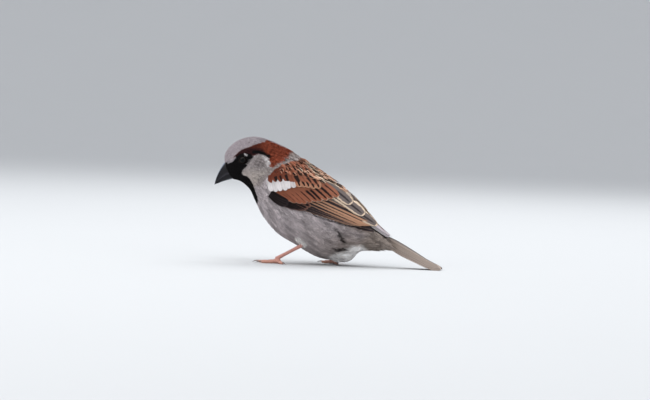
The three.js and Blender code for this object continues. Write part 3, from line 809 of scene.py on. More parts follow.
def buildClaws():
    lay = {"rings": 26, "columns": 16, "root": 0.54, "narrow": 0.8}
    points, tones, vanes = [], [], []
    for leg in legs.values():
        foot = np.array([*leg["foot"], 0.0])
        for number, (_, length, claw) in toes.items():
            way = toeWay(leg, number)
            side = np.array([-way[1], way[0], 0])
            at = along(np.array(clawPath), np.linspace(0, len(clawPath) - 1, lay["rings"]))
            middle = (foot + (length - 0.3 + at[:, :1] * (claw + 0.6)) * way + at[:, 1:]
                      * np.array([0, 0, 1.0]))
            t = np.linspace(0, 1, lay["rings"])
            radius = lay["root"] * (1 - t) ** 0.7 * 0.93 + 0.035
            tangent = unit(np.gradient(middle, axis=0))
            top = np.cross(side[None], tangent)
            top = top * np.sign(top[:, 2:3])
            turnRound = np.linspace(0, 2 * math.pi, lay["columns"], endpoint=False)
            c, sn = np.cos(turnRound)[None, :, None], np.sin(turnRound)[None, :, None]
            grid = middle[:, None] + radius[:, None, None] * (lay["narrow"] * c * side + sn * top[:, None])
            grid[..., 2] = np.maximum(grid[..., 2], 0.02)
            tone = np.broadcast_to(mixed(np.repeat(colour("a08a80")[None], lay["rings"], 0),
                                         colour("5a4d4b"), t)[:, None], grid.shape)
            points.append(tubePoints(grid))
            tones.append(tubePoints(rgba(tone)))
            run = t[:, None] * np.ones(lay["columns"])
            vanes.append(tubePoints(np.stack([run, np.broadcast_to(turnRound / 6.28, run.shape), run * 0],
                                             -1)))
    faces = repeatFaces(tubeFaces(lay["rings"], lay["columns"]), len(points), points[0].shape[0])
    piece = makeMesh("claws", np.concatenate(points), faces, material=clawLook, flip=True,
                     attributes={"base": np.concatenate(tones), "vane": np.concatenate(vanes)})
    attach(piece, "root")
    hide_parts(*[f"claw_{side}_{k}" for side in legs for k in toes])


buildClaws()


def buildEye(side):
    # a ball with a slightly raised clear front; vane.x is the angle from its axis over pi
    lay = {"rings": 56, "columns": 64, "tilt": 0.10}
    angle = np.linspace(0.012, math.pi - 0.012, lay["rings"])
    turn = np.linspace(0, 2 * math.pi, lay["columns"], endpoint=False)
    a, t = np.meshgrid(angle, turn, indexing="ij")
    radius = eyeSpot["radius"] * (1 + 0.02 * smooth(0.9, 0.2, a))
    ball = radius[..., None] * np.stack([np.sin(a) * np.cos(t), side * np.cos(a), np.sin(a) * np.sin(t)], -1)
    grid = ball + (eyeSpot["x"], side * eyeSpot["y"], eyeSpot["z"])
    vane = np.stack([a / (math.pi / 2), t, a * 0], -1)
    name = "eyeLeft" if side < 0 else "eyeRight"
    piece = makeMesh(name, tubePoints(grid), tubeFaces(lay["rings"], lay["columns"]), flip=side > 0,
                     attributes={"vane": tubePoints(vane)}, material=eyeLook)
    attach(piece, "root")
    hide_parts("eye_left" if side < 0 else "eye_right")


eyeLook = eyeFinish()
buildEye(-1)
buildEye(1)
print("bill, claws and eyes")

# vane cross sections: place across (-1 to 1) and height, in order over the top and back
sections = {
    "small": np.array([(-1, 0), (0, 1), (1, 0)]),
    "medium": np.array([(-1, 0), (-0.5, 0.8), (0, 1), (0.5, 0.8), (1, 0), (0, -0.3)]),
    "large": np.array([(-1, 0), (-0.7, 0.55), (-0.35, 0.85), (0, 1), (0.35, 0.85), (0.7, 0.55), (1, 0),
                       (0.5, -0.3), (-0.5, -0.3)]),
}


def vaneSteps(rings):
    # places along a vane, closer together at the round tip
    t = np.linspace(0, 1, rings)
    return 0.995 * (1 - (1 - t) ** 1.6)


def vaneOutline(u, blunt=0.72, root=0.45):
    # half width along a vane: grows from the root, then closes as a quarter ellipse
    tip = np.sqrt(np.clip(1 - np.clip((u - blunt) / (1 - blunt), 0, 1) ** 2, 0, 1))
    return (root + (1 - root) * smooth(0, 0.45, u)) * tip


def strollOn(s, turn, length, swing, rings):
    # walks each root aft over the body for its length in mm, swung aside by an angle
    steps = vaneSteps(rings)
    placesS, placesT = [s], [turn]
    for k in range(1, rings):
        normal, aft, around = bodyFrame(s, turn)
        ahead = unit(aft)
        way = np.cos(swing)[:, None] * ahead + np.sin(swing)[:, None] * np.cross(normal, ahead)
        aa, ab, bb = (aft * aft).sum(-1), (aft * around).sum(-1), (around * around).sum(-1)
        pa, pb = (aft * way).sum(-1), (around * way).sum(-1)
        det = np.maximum(aa * bb - ab * ab, 1e-6)
        run = length * (steps[k] - steps[k - 1])
        s = np.clip(s + run * (pa * bb - pb * ab) / det, 0, len(bodyStations) - 1.001)
        turn = turn + np.clip(run * (pb * aa - pa * ab) / det, -0.3, 0.3)
        placesS.append(s)
        placesT.append(turn)
    return np.stack(placesS, 1), np.stack(placesT, 1), steps


alongStep, aroundStep = 0.7548776662, 0.5698402910  # steps of an even scatter in two directions


def scatter(spacing, sRange, seed, cells=(150, 180)):
    # even, unruled places over the body: a golden-ratio sequence sent through the running
    # total of area over spacing squared, first along, then around
    sEdge = np.linspace(*sRange, cells[0] + 1)
    tEdge = np.linspace(-math.pi, math.pi, cells[1] + 1)
    sm, tm = np.meshgrid((sEdge[1:] + sEdge[:-1]) / 2, (tEdge[1:] + tEdge[:-1]) / 2, indexing="ij")
    aft, around = bodyFrame(sm, tm)[1:]
    area = np.linalg.norm(np.cross(aft, around), axis=-1) * (sEdge[1] - sEdge[0]) * (tEdge[1] - tEdge[0])
    weight = area / spacing(sm, tm)
    total = weight.sum()
    count = int(total)
    k = np.arange(count)
    a = (seed * 0.37 + alongStep * k) % 1
    b = (seed * 0.61 + aroundStep * k) % 1
    rows = np.concatenate([[0], np.cumsum(weight.sum(1))]) / total
    s = np.interp(a, rows, sEdge)
    row = np.clip(np.searchsorted(rows, a) - 1, 0, cells[0] - 1)
    ladder = np.concatenate([np.zeros((cells[0], 1)), np.cumsum(weight, 1)], 1)
    ladder = (ladder / ladder[:, -1:])[row]
    col = np.clip((ladder < b[:, None]).sum(1) - 1, 0, cells[1] - 1)
    low, high = ladder[np.arange(count), col], ladder[np.arange(count), col + 1]
    turn = tEdge[col] + (b - low) / np.maximum(high - low, 1e-9) * (tEdge[1] - tEdge[0])
    return s, turn


def layVanes(middle, normal, across, length, halfWidth, section, thickness, cup, steps, roots):
    # rings round each middle line: across times the profile's place, outward by its height,
    # with the edges cupped down; returns points and the vane attribute
    v, h = section[:, 0], section[:, 1]
    w = (halfWidth[:, None] * roots)[..., None]
    up = h * thickness * np.clip(roots * 1.5, 0.15, 1)[..., None] - cup * v * v * w
    grid = middle[:, :, None] + across[:, :, None] * (v * w)[..., None] + normal[:, :, None] * up[..., None]
    slim = length / halfWidth
    vane = np.stack(np.broadcast_arrays(steps[None, :, None], v[None, None], slim[:, None, None]), -1)
    return tubePoints(grid), tubePoints(vane)


def perPoint(values, count):
    return np.repeat(values[:, None], count, 1).reshape(-1, values.shape[-1])


# length of the feathers in mm at back, side and belly, station by station
featherLength = np.array([
    (1.5, 1.5, 1.5), (2.1, 1.7, 1.8), (2.9, 2.2, 2.3), (3.6, 2.8, 3.2), (5.0, 4.4, 5.2), (7.0, 6.6, 7.5),
                          (8.5, 8.8, 9.5),
    (9.0, 10.5, 11.0), (9.5, 11.0, 11.5), (10.0, 11.0, 11.5), (10.5, 11.0, 11.0), (10.0, 10.0, 10.0),
                          (9.0, 9.5, 10.5),
    (8.5, 10.0, 12.0), (8.0, 10.0, 12.0),
])
wingOutline = np.array([
    (-22, 46), (-21.6, 50.5), (-17.2, 55), (-8.3, 56.8), (1.7, 55.4), (11.5, 52.2), (21.3, 48.2), (29, 42.5),
                        (36.9, 35.6),
    (43, 29.2), (46.3, 24.9), (46.1, 21.3), (39.7, 21.8), (32.3, 23.6), (22.9, 25.6), (15.1, 27.8),
                        (5.1, 31.5), (-5.1, 36),
    (-14.4, 39.5), (-20.3, 42),
])
wingPose = {"left": ((-22, 46), 0.0, 1.0), "right": ((-16, 44.2), -1.0, 1.04)}


def onWing(xz, side):
    # from the left wing's own drawing to where the wing of that side lies
    bend, turn, scale = wingPose[side]
    a = math.radians(turn)
    d = (np.asarray(xz, float) - wingPose["left"][0]) * scale
    return np.stack([bend[0] + d[..., 0] * math.cos(a) - d[..., 1] * math.sin(a),
                     bend[1] + d[..., 0] * math.sin(a) + d[..., 1] * math.cos(a)], -1)


def underWing(p, margin):
    # true where a point lies beneath a folded wing by more than the margin in mm
    hidden = np.zeros(len(p), bool)
    for side, sign in (("left", -1), ("right", 1)):
        depth = insideDepth(p[:, [0, 2]], onWing(wingOutline, side))
        c = sideCoordinates(p[:, 0], p[:, 2])[1]
        near = margin - (margin - 0.2) * smooth(0.1, 0.5, c) * smooth(12, 18, p[:, 0])
        hidden |= (depth > near) & (p[:, 1] * sign > 0)
    return hidden


coat = {
    "narrowHead": 0.40, "narrowBody": 0.32,  # full width over length
    "alongStep": 0.25, "acrossStep": 0.56,   # spacing over length and over width
    "swing": 0.13, "toneSpread": 0.10, "liftSpread": 0.05, "eyeClear": 1.10,
}


def lengthAt(s, turn):
    return threeWay(featherLength, s, turn)


def narrowAt(s):
    return coat["narrowHead"] + (coat["narrowBody"] - coat["narrowHead"]) * smooth(4, 7, s)


def coatSpacing(s, turn):
    length = lengthAt(s, turn)
    return coat["alongStep"] * length * coat["acrossStep"] * length * narrowAt(s)


def rumpLift(s, turn):
    # the rump lies lower, under the wings' tips
    return -1.2 * smooth(9.0, 10.0, s) * smooth(0.3, 0.8, np.cos(turn)) * smooth(13.2, 12.4, s)


def scapularLift(s, turn):
    # the back's feathers ride over the roots of the wing's
    c = np.cos(turn)
    return 0.25 + 1.2 * smooth(0.1, 0.45, c) * (1 - 0.8 * smooth(0.65, 1.0, c))


def markDepth(name, s, turn):
    # distance in mm inside the outline of a mark, for places over the body
    xz = bodyPoint(s, turn)[..., [0, 2]]
    return insideDepth(xz.reshape(-1, 2), marks[name]).reshape(s.shape)


def barbLift(s, turn):
    # fine barbs follow the feathers that they belong to
    back = smooth(-0.8, 0.8, markDepth("mantle", s, turn)) * smooth(0.1, 0.2, np.cos(turn))
    return rumpLift(s, turn) + back * (scapularLift(s, turn) + 0.1)


def growCoat(name, sRange, section, rings, thickness, seed, keep=None, spacing=coatSpacing, pieces=1,
             proud=rumpLift, blunt=0.5, wide=1.0, spots=False, droop=0.0):
    # contour feathers of one stretch of the body, as a few joined pieces
    s, turn = scatter(spacing, sRange, seed)
    length = lengthAt(s, turn) * (1 + 0.12 * rng.standard_normal(len(s)).clip(-2, 2))
    swing = coat["swing"] * rng.standard_normal(len(s)).clip(-2.5, 2.5)
    swing += droop * np.sign(turn) * smooth(0.15, 0.6, np.abs(turn))
    tipS, tipT, steps = strollOn(s, turn, length, swing, rings)
    shown = bodyPoint(tipS[:, rings * 2 // 3], tipT[:, rings * 2 // 3])
    ok = ~underWing(shown, 3.0)
    ok &= ~underWing(bodyPoint(tipS[:, -1], tipT[:, -1]), 9.0)
    path = bodyPoint(tipS, tipT)
    nearEye = (eyeRing(path) < coat["eyeClear"]) & (np.abs(path[..., 1]) > 5)
    ok &= ~nearEye.any(1)
    if keep is not None:
        ok &= keep(s, turn, shown)
    s, turn, length, tipS, tipT, shown = [a[ok] for a in (s, turn, length, tipS, tipT, shown)]
    depth = threeWay(coatDepth, tipS, tipT)
    ruffle = coat["liftSpread"] * rng.standard_normal(len(s)).clip(-2, 2)[:, None]
    lift = (-depth * (1 - steps) ** 2 * 0.95 + depth * ruffle * steps + proud(tipS, tipT)
            * smooth(0.1, 0.8, steps) - 0.04)
    middle = bodyPoint(tipS, tipT, lift)
    normal = bodyFrame(tipS, tipT)[0]
    tangent = unit(np.gradient(middle, axis=1))
    across = unit(np.cross(normal, tangent))
    half = length * narrowAt(s) * wide / 2 * (1 + 0.1 * rng.standard_normal(len(s)).clip(-2, 2))
    points, vane = layVanes(middle, normal, across, length, half, section, thickness, 0.16, steps,
                            np.broadcast_to(vaneOutline(steps, blunt), (len(s), rings)))
    if spots:
        vane[..., 1] = vane[..., 1] * 0.75 + 0.3
    base, core, edge, coreW, edgeW = plumage(shown, tipS[:, rings * 2 // 3], tipT[:, rings * 2 // 3])
    gain = 1 + coat["toneSpread"] * rng.standard_normal(len(s)).clip(-2.2, 2.2)[:, None]
    base, core, edge = base * gain, core * gain, edge * gain
    coreStart = np.full(len(s), 0.36 if spots else -0.2)
    shape = np.stack([coreW, edgeW, 0.95 + 0 * coreW, coreStart], -1)
    perVane = 2 + rings * len(section)
    order = np.array_split(np.argsort(s), pieces)
    made = []
    for k, pick in enumerate(order):
        data = {"base": perPoint(rgba(base[pick], length[pick]), perVane),
                "core": perPoint(rgba(core[pick]), perVane),
                "edge": perPoint(rgba(edge[pick]), perVane), "shape": perPoint(shape[pick], perVane),
                "vane": vane[pick].reshape(-1, 3)}
        root = skinPatch(s[pick], turn[pick])[:, None] + (vane[pick][..., :2] * (1, 0.5) - (0.5, 0)) * 0.003
        faces = repeatFaces(tubeFaces(rings, len(section)), len(pick), perVane)
        piece = makeMesh(name + (str(k + 1) if pieces > 1 else ""), points[pick], faces, root, data,
                         plumageLook)
        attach(piece, "root")
        made.append(piece)
    print(name, len(s), "feathers")
    return made


def isMantle(s, turn, shown):
    xz = shown[:, [0, 2]]
    return (insideDepth(xz, marks["mantle"]) > 0.5) & (np.cos(turn) > 0.15)


growCoat("coatHead", (0.05, 4.6), sections["small"], rings=5, thickness=0.08, seed=1, pieces=2)
growCoat("coatBody", (4.3, 10.6), sections["medium"], rings=7, thickness=0.08, seed=2, keep=lambda s, t,
         p: ~isMantle(s, t, p), pieces=2)
growCoat("coatRear", (10.2, 13.2), sections["medium"], rings=7, thickness=0.08, seed=3, keep=lambda s, t,
         p: s < 12.5 - 0.7 * np.cos(t))
growCoat("mantle", (4.6, 9.4), sections["large"], rings=12, thickness=0.12, seed=4, keep=isMantle,
         proud=scapularLift, blunt=0.42,
         spacing=lambda s, t: coatSpacing(s, t) * 0.95, wide=0.80, spots=True, droop=0.22)


# a spindle of eight points: a tip, two rings of three and a tip
spindleAngles = np.array([0, 2.0944, 4.1888])    # thirds of a turn
spindleGirths = np.array([1.0, 0.75])            # of the two rings
spindlePlaces = [0, 0.4, 0.4, 0.4, 0.75, 0.75, 0.75, 1]


def growBarbs(name, sRange, seed, density, reach, stand, pieces, pale=1.0, girth=1.0):
    # fine spindles that carry the feathers' edges on into soft lines; density per mm2 and
    # length over feather length come from the two functions
    s, turn = scatter(lambda a, b: 1 / np.maximum(density(a, b), 1e-5), sRange, seed)
    length = lengthAt(s, turn) * reach * (1 + 0.25 * rng.standard_normal(len(s)).clip(-2, 2))
    swing = 0.22 * rng.standard_normal(len(s)).clip(-2.5, 2.5)
    tipS, tipT, steps = strollOn(s, turn, length, swing, 4)
    shown = bodyPoint(tipS[:, 2], tipT[:, 2])
    path = bodyPoint(tipS, tipT)
    ok = ~underWing(shown, 1.5) & ~((eyeRing(path) < 1.03) & (np.abs(path[..., 1]) > 5)).any(1)
    s, turn, length, tipS, tipT, shown = [a[ok] for a in (s, turn, length, tipS, tipT, shown)]
    n = len(s)
    high = stand * (0.3 + 0.9 * rng.random(n))[:, None] * threeWay(coatDepth, s, turn)[:, None]
    lift = -0.10 - 0.25 * (1 - steps) ** 2 + high * steps ** 1.5 + barbLift(tipS, tipT)
    middle = bodyPoint(tipS, tipT, lift)
    normal = bodyFrame(tipS, tipT)[0]
    tangent = unit(np.gradient(middle, axis=1))
    across = unit(np.cross(normal, tangent))
    half = girth * (0.045 + 0.010 * length) * (0.7 + 0.6 * rng.random(n))
    inner = middle[:, 1:3]
    ring = np.cos(spindleAngles)[:, None] * across[:, 1:3, None]
    ring = ring + np.sin(spindleAngles)[:, None] * 0.7 * normal[:, 1:3, None]
    grid = inner[:, :, None] + half[:, None, None, None] * spindleGirths[None, :, None, None] * ring
    points = np.concatenate([middle[:, :1], grid.reshape(n, 6, 3), middle[:, 3:4]], 1)
    base, core, edge = plumage(shown, tipS[:, 2], tipT[:, 2])[:3]
    pick = rng.random(n)[:, None]
    tone = (np.where(pick < 0.3, core, np.where(pick > 0.62, edge, base))
            * (1 + 0.10 * rng.standard_normal(n)[:, None]).clip(0.7, 1.3) * pale)
    vane = np.zeros((n, 8, 3))
    vane[:, :, 0] = spindlePlaces
    faces = tubeFaces(2, 3)
    for k, pick in enumerate(np.array_split(np.argsort(s), pieces)):
        root = (skinPatch(s[pick], turn[pick])[:, None] + (vane[pick][..., :2] - (0.5, 0)) * (0.0015, 0)
                + np.array([0, 0.0012]) * np.array([0, -1, 0, 1, -1, 0, 1, 0])[None, :, None])
        piece = makeMesh(name + str(k + 1), points[pick], repeatFaces(faces, len(pick), 8), root,
                         {"base": perPoint(rgba(tone[pick]), 8), "vane": vane[pick].reshape(-1, 3)},
                         barbLook, flip=True)
        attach(piece, "root")
    print(name, n, "barbs")


def barbDensity(s, turn):
    # per mm2: close on the face, open on the long soft feathers of the breast and belly
    head = 7.5 * smooth(4.8, 3.6, s)
    body = 4.6 * smooth(3.6, 5.0, s) * (1 - 0.8 * smooth(0.1, 0.4, np.cos(turn)) * smooth(4.8, 5.4, s))
    back = smooth(-0.5, 0.5, markDepth("mantle", s, turn)) * (np.cos(turn) > 0.1)
    return (head + body) * (1 - back)


growBarbs("down", (0.2, 12.4), seed=5, density=barbDensity, reach=0.55, stand=0.16, pieces=5)


def ventDensity(s, turn):
    # the loose white feathering below the tail
    return 5.0 * smooth(-1.5, 1.0, markDepth("vent", s, turn))


growBarbs("fluff", (8.0, 12.4), seed=6, density=ventDensity, reach=0.7, stand=0.6, pieces=1, pale=1.12,
          girth=1.4)


def growLegTufts():
    # soft spindles down the feathered part of each leg: roots on a cone from knee to ankle,
    # tips along it and flaring out; white with a dark patch behind
    lay = {"count": 800, "length": 4.6, "flare": 0.30, "girth": 0.13, "start": 0.45}
    count, sets = lay["count"], []
    for leg in legs.values():
        knee, ankle = np.array(leg["knee"], float), np.array(leg["ankle"], float)
        axis = unit(ankle - knee)
        side = unit(np.cross(axis, (0, 0, 1.0)))
        top = np.cross(side, axis)
        k = np.arange(count)
        t = lay["start"] + (0.97 - lay["start"]) * ((alongStep * k) % 1)
        angle = 2 * math.pi * ((aroundStep * k) % 1)
        out = np.cos(angle)[:, None] * side + np.sin(angle)[:, None] * top
        radius = 4.6 + (1.15 - 4.6) * smooth(0.0, 1.0, t)
        root = knee + (t * np.linalg.norm(ankle - knee))[:, None] * axis + out * radius[:, None]
        reach = lay["length"] * (0.7 + 0.5 * rng.random(count)) * (1.15 - 0.55 * smooth(0.7, 1.0, t))
        steps = np.array([0, 0.35, 0.7, 1.0])
        bow = (out * (lay["flare"] + 0.1 * rng.standard_normal((count, 1)))
               + 0.08 * rng.standard_normal((count, 3)))
        middle = (root[:, None] + reach[:, None, None] * steps[:, None]
                  * (axis + bow[:, None] * (1 - 0.4 * steps[:, None])))
        across = unit(np.cross(axis, out))
        ring = np.cos(spindleAngles)[:, None] * across[:, None, None]
        ring = ring + np.sin(spindleAngles)[:, None] * 0.7 * out[:, None, None]
        grid = middle[:, 1:3, None] + lay["girth"] * spindleGirths[None, :, None, None] * ring
        points = np.concatenate([middle[:, :1], grid.reshape(count, 6, 3), middle[:, 3:4]], 1)
        dark = smooth(0.0, 0.6, out[:, 0]) * smooth(0.55, 0.75, t)
        tone = mixed(np.repeat(tint["vent"][None], count, 0), tint["streakAndShadow"],
                     0.9 * dark * (rng.random(count) > 0.2))
        tone = tone * (1 + 0.12 * rng.standard_normal((count, 1))).clip(0.7, 1.3)
        sets.append((points, perPoint(rgba(tone), 8), t, angle))
    vane = np.zeros((2 * count, 8, 3))
    vane[:, :, 0] = spindlePlaces
    points = np.concatenate([a[0] for a in sets])
    t, angle = np.concatenate([a[2] for a in sets]), np.concatenate([a[3] for a in sets])
    leg = np.repeat([0.0, 0.5], count)
    patch = (np.stack([0.02 + leg + 0.46 * angle / 6.2832, 0.02 + 0.96 * t], -1)[:, None]
             + np.array([(0, -1), (-1, 0), (0, 0), (1, 0), (-1, 0.3), (0, 0.3), (1, 0.3), (0, 1)]) * 0.0015)
    piece = makeMesh("legTufts", points, repeatFaces(tubeFaces(2, 3), 2 * count, 8), patch,
                     {"base": np.concatenate([a[1] for a in sets]), "vane": vane.reshape(-1, 3)}, barbLook)
    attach(piece, "root")


growLegTufts()


def flankPoint(xz, lift, sign):
    # a point of the side view laid on that flank, lifted outward; near the back the whole
    # wing sits a little inside the body's line, so that its top feathers end on that line
    s, c = sideCoordinates(xz[..., 0], xz[..., 1])
    c = np.clip(c, -0.97, 0.99)
    lift = lift - 1.5 * smooth(0.3, 0.95, c)
    return bodyPoint(s, sign * np.arccos(c), lift)


def featherLine(root, bend, tip, u):
    # quadratic curve from root to tip drawn towards the bend
    root, bend, tip = [np.asarray(a, float)[:, None] for a in (root, bend, tip)]
    u = u[None, :, None]
    return root * (1 - u) ** 2 + 2 * bend * u * (1 - u) + tip * u * u


def evenly(points, count):
    # count points along an open line, the same share of its length apart
    points = np.asarray(points, float)
    run = np.concatenate([[0], np.cumsum(np.linalg.norm(np.diff(points, axis=0), axis=1))])
    t = np.linspace(0, run[-1], count)
    return np.stack([np.interp(t, run, points[:, k]) for k in range(points.shape[1])], -1)


# groups of wing feathers in the left wing's side view, mm, from the lowest layer up: lines of
# roots and tips from the outermost feather to the innermost, full width, rise of the bend
# above the straight line, lift at root and tip from first to last feather, share of the
# width on the lower side, where the round of the tip starts
wingGroups = {
    "primaries": {"count": 8, "roots": [(-10, 36.0), (2, 38.5)],
                  "tips": [(45.2, 21.6), (45.6, 23.0), (42.6, 24.4), (38, 25.4)],
                  "width": (3.4, 3.8), "bend": -1.8, "lift": ((-0.1, 0.1), (0.2, 0.4)), "outer": 0.55,
                  "blunt": 0.88, "rings": 26},
    "primaryCoverts": {"count": 7, "roots": [(-13.6, 38.2), (-5, 41)],
                       "tips": [(-0.5, 33.2), (3.6, 32.8), (7.0, 33.4), (8.2, 35.0)],
                       "width": (3.0, 3.2), "bend": -0.6, "lift": ((0.6, 0.8), (0.9, 1.1)), "outer": 0.7,
                       "blunt": 0.8, "rings": 16},
    "alula": {"count": 4, "roots": [(-17.4, 40.8), (-16.0, 43.2)],
              "tips": [(-6.9, 34.9), (-5.6, 35.6), (-4.6, 36.8), (-5.0, 38.4)],
              "width": (3.6, 3.2), "bend": -0.9, "lift": ((0.9, 1.0), (1.1, 1.2)), "outer": 0.8,
              "blunt": 0.7, "rings": 14},
    "secondaries": {"count": 7, "roots": [(-4, 36.0), (4, 43.5)],
                    "tips": [(32.4, 25.8), (37.0, 25.0), (41.0, 24.9), (43.4, 25.2), (43.2, 26.8)],
                    "width": (4.0, 5.0), "bend": 0.9, "lift": ((0.3, 0.4), (0.95, 1.15)), "outer": 0.75,
                    "blunt": 0.9, "rings": 26},
    "crossedTips": {"count": 4, "roots": [(30, 35.8), (32, 37.6)],
                    "tips": [(52.6, 17.6), (53.6, 18.1), (54.0, 18.8)],
                    "width": (3.0, 3.6), "bend": 0.8, "lift": ((-0.8, 1.0), (-0.6, 2.0)), "outer": 1.0,
                    "blunt": 0.5, "rings": 24},
    "tertials": {"count": 3, "roots": [(9, 45.2), (10, 48.2), (9, 51.2)],
                 "tips": [(46.4, 25.4), (37.9, 31.4), (31.0, 36.9)],
                 "width": (6.6, 6.4), "bend": 2.6, "lift": ((0.9, 1.2), (1.2, 1.6)), "outer": 0.95,
                 "blunt": 0.80, "rings": 30},
    "greaterCoverts": {"count": 10, "roots": [(-15.4, 44.6), (-8.0, 46.4), (3.0, 48.4), (10.0, 51.0)],
                       "tips": [(-3.0, 37.9), (1.2, 36.7), (6.6, 36.9), (12.8, 38.0), (18.4, 38.7),
                                (23.2, 41.2)],
                       "width": (4.0, 5.0), "bend": 0.9, "lift": ((1.0, 1.2), (1.3, 1.7)), "outer": 0.95,
                       "blunt": 0.74, "rings": 18},
    "medianCoverts": {"count": 11, "roots": [(-18.6, 50.0), (-9, 52.6), (7, 53)],
                      "tips": [(-15.6, 43.2), (-10.8, 43.3), (-7.4, 44.0), (-4.2, 45.1), (0, 46.2),
                               (6, 46.0), (12.0, 45.0)],
                      "width": (4.2, 4.6), "bend": 0.5, "lift": ((1.1, 1.3), (1.5, 1.8)), "outer": 1.0,
                      "blunt": 0.6, "rings": 13},
    "lesserCoverts1": {"count": 9, "roots": [(-17.8, 52.6), (-8, 55.5), (4, 55)],
                       "tips": [(-16.4, 47.8), (-11.2, 48.9), (-7.0, 48.9), (-1.6, 47.6), (4, 48.4),
                                (11, 47.4)],
                       "width": (4.0, 4.4), "bend": 0.3, "lift": ((1.2, 1.2), (1.7, 1.8)), "outer": 1.0,
                       "blunt": 0.55, "rings": 11},
    "lesserCoverts2": {"count": 8, "roots": [(-16.4, 54.0), (-9, 57.2), (3, 57.6)],
                       "tips": [(-14.4, 50.2), (-7.5, 51.6), (0, 51.6), (8, 50.6)],
                       "width": (3.8, 4.2), "bend": 0.3, "lift": ((1.0, 1.0), (1.8, 1.9)), "outer": 1.0,
                       "blunt": 0.55, "rings": 11},
    "lesserCoverts3": {"count": 8, "roots": [(-15.6, 55.4), (-9, 58.6), (0, 59.6)],
                       "tips": [(-13.4, 52.8), (-7.0, 54.6), (0, 55.0), (6, 54.0)],
                       "width": (3.6, 4.0), "bend": 0.3, "lift": ((0.6, 0.7), (1.8, 1.9)), "outer": 1.0,
                       "blunt": 0.55, "rings": 11},
    "lesserCoverts4": {"count": 7, "roots": [(-14.6, 56.2), (-9.6, 59.0), (-4, 60.6)],
                       "tips": [(-13.2, 55.0), (-7.6, 57.4), (-1, 58.0)],
                       "width": (3.4, 3.8), "bend": 0.2, "lift": ((0.2, 0.3), (1.7, 1.6)), "outer": 1.0,
                       "blunt": 0.55, "rings": 11},
}


def wingTones(group, t, n):
    # base, core and edge colours and core width, edge width and core start of n feathers,
    # t runs from the first to the last
    c = {k: np.repeat(v[None], n, 0) for k, v in tint.items()}
    one, spot = np.ones(n), rng.random(n)
    if group == "primaries":
        return (mixed(c["tailDark"], c["streakAndShadow"], 0.5 * one), c["streakAndShadow"],
                mixed(c["buff"], c["tailEdge"], 0.4 * one), 0.4 * one, 0.13 * one, -0.2 * one)
    if group == "crossedTips":
        # the first, lowest of the crossed tips is black all over: the dark lower edge of the tips together
        # with a painted shadow line beneath them
        pale = smooth(0.1, 0.3, t)
        return (mixed(c["streakAndShadow"], c["wingTip"], pale), c["streakAndShadow"],
                mixed(c["streakAndShadow"], c["vent"], 0.5 * pale), 0.08 * one, 0.2 * one, -0.2 * one)
    if group == "alula":
        return (mixed(c["streakAndShadow"], c["tailDark"], 0.25 * one), c["streakAndShadow"],
                mixed(c["streakAndShadow"], c["tailDark"], 0.6 * one), 0.5 * one, 0.10 * one, -0.2 * one)
    if group == "primaryCoverts":
        return (mixed(c["tailDark"], c["rufous"], 0.45 * t), c["streakAndShadow"],
                mixed(c["tailDark"], c["buff"], 0.5 * one), 0.62 * one, 0.14 * one, 0.25 * one)
    if group == "secondaries":
        base = mixed(mixed(c["rufous"], c["buff"], 0.25 + 0.5 * smooth(0.1, 0.7, t)), c["tailDark"],
                     0.7 * smooth(0.55, 0.2, t))
        return (base, mixed(c["tailDark"], c["streakAndShadow"], 0.6 * one), mixed(c["buff"], c["cream"], 0.15 * one),
                0.84 - 0.50 * smooth(0.3, 0.75, t), 0.12 * one, -0.2 * one)
    if group == "tertials":
        return (mixed(c["tailDark"], c["tail"], 0.35 * one), mixed(c["tailDark"], c["streakAndShadow"], 0.5 * one),
                mixed(c["cream"], c["buff"], 0.1 * one), 0.20 * one, 0.32 * one, -0.2 * one)
    if group == "greaterCoverts":
        edge = mixed(c["rufous"], c["cream"], 0.3 + 0.55 * smooth(0.3, 0.9, t))
        base = mixed(c["lesser"], c["rufous"], 0.55 + 0.45 * t)
        return (base, c["streakAndShadow"], edge, 0.05 + (0.10 + 0.16 * spot) * smooth(0.25, 0.6, t), 0.15 * one,
                0.50 - 0.16 * t)
    if group == "medianCoverts":
        white = smooth(0.56, 0.48, t)
        base = mixed(mixed(c["rufous"], c["buff"], 0.3 * one), c["white"], white)
        return (base, mixed(c["streakAndShadow"], c["white"], white), mixed(c["buff"], c["white"] * 1.05, white),
                0.30 * (spot > 0.3), 0.2 * one, 0.45 * one)
    red = mixed(c["lesser"], c["rufous"], 0.9 * smooth(0.2, 0.9, t))
    return (red, mixed(red, c["streakAndShadow"], 0.95 * one), mixed(red, c["buff"], 0.05 + 0.4 * t),
            (0.30 + 0.35 * rng.random(n)) * (spot > 0.35), 0.14 * one, 0.35 * one)


def stripPatch(index, total, vane):
    # one strip of an atlas for each feather: along it upwards, across it sideways
    columns = max(1, int(math.ceil(math.sqrt(total / 3))))
    rows = int(math.ceil(total / columns))
    col, row = index % columns, index // columns
    a = (vane[..., 1] * 0.5 + 0.5) * 0.84 + 0.08
    b = vane[..., 0] * 0.90 + 0.05
    return np.stack([(col[:, None] + a) / columns, (row[:, None] + b) / rows], -1)


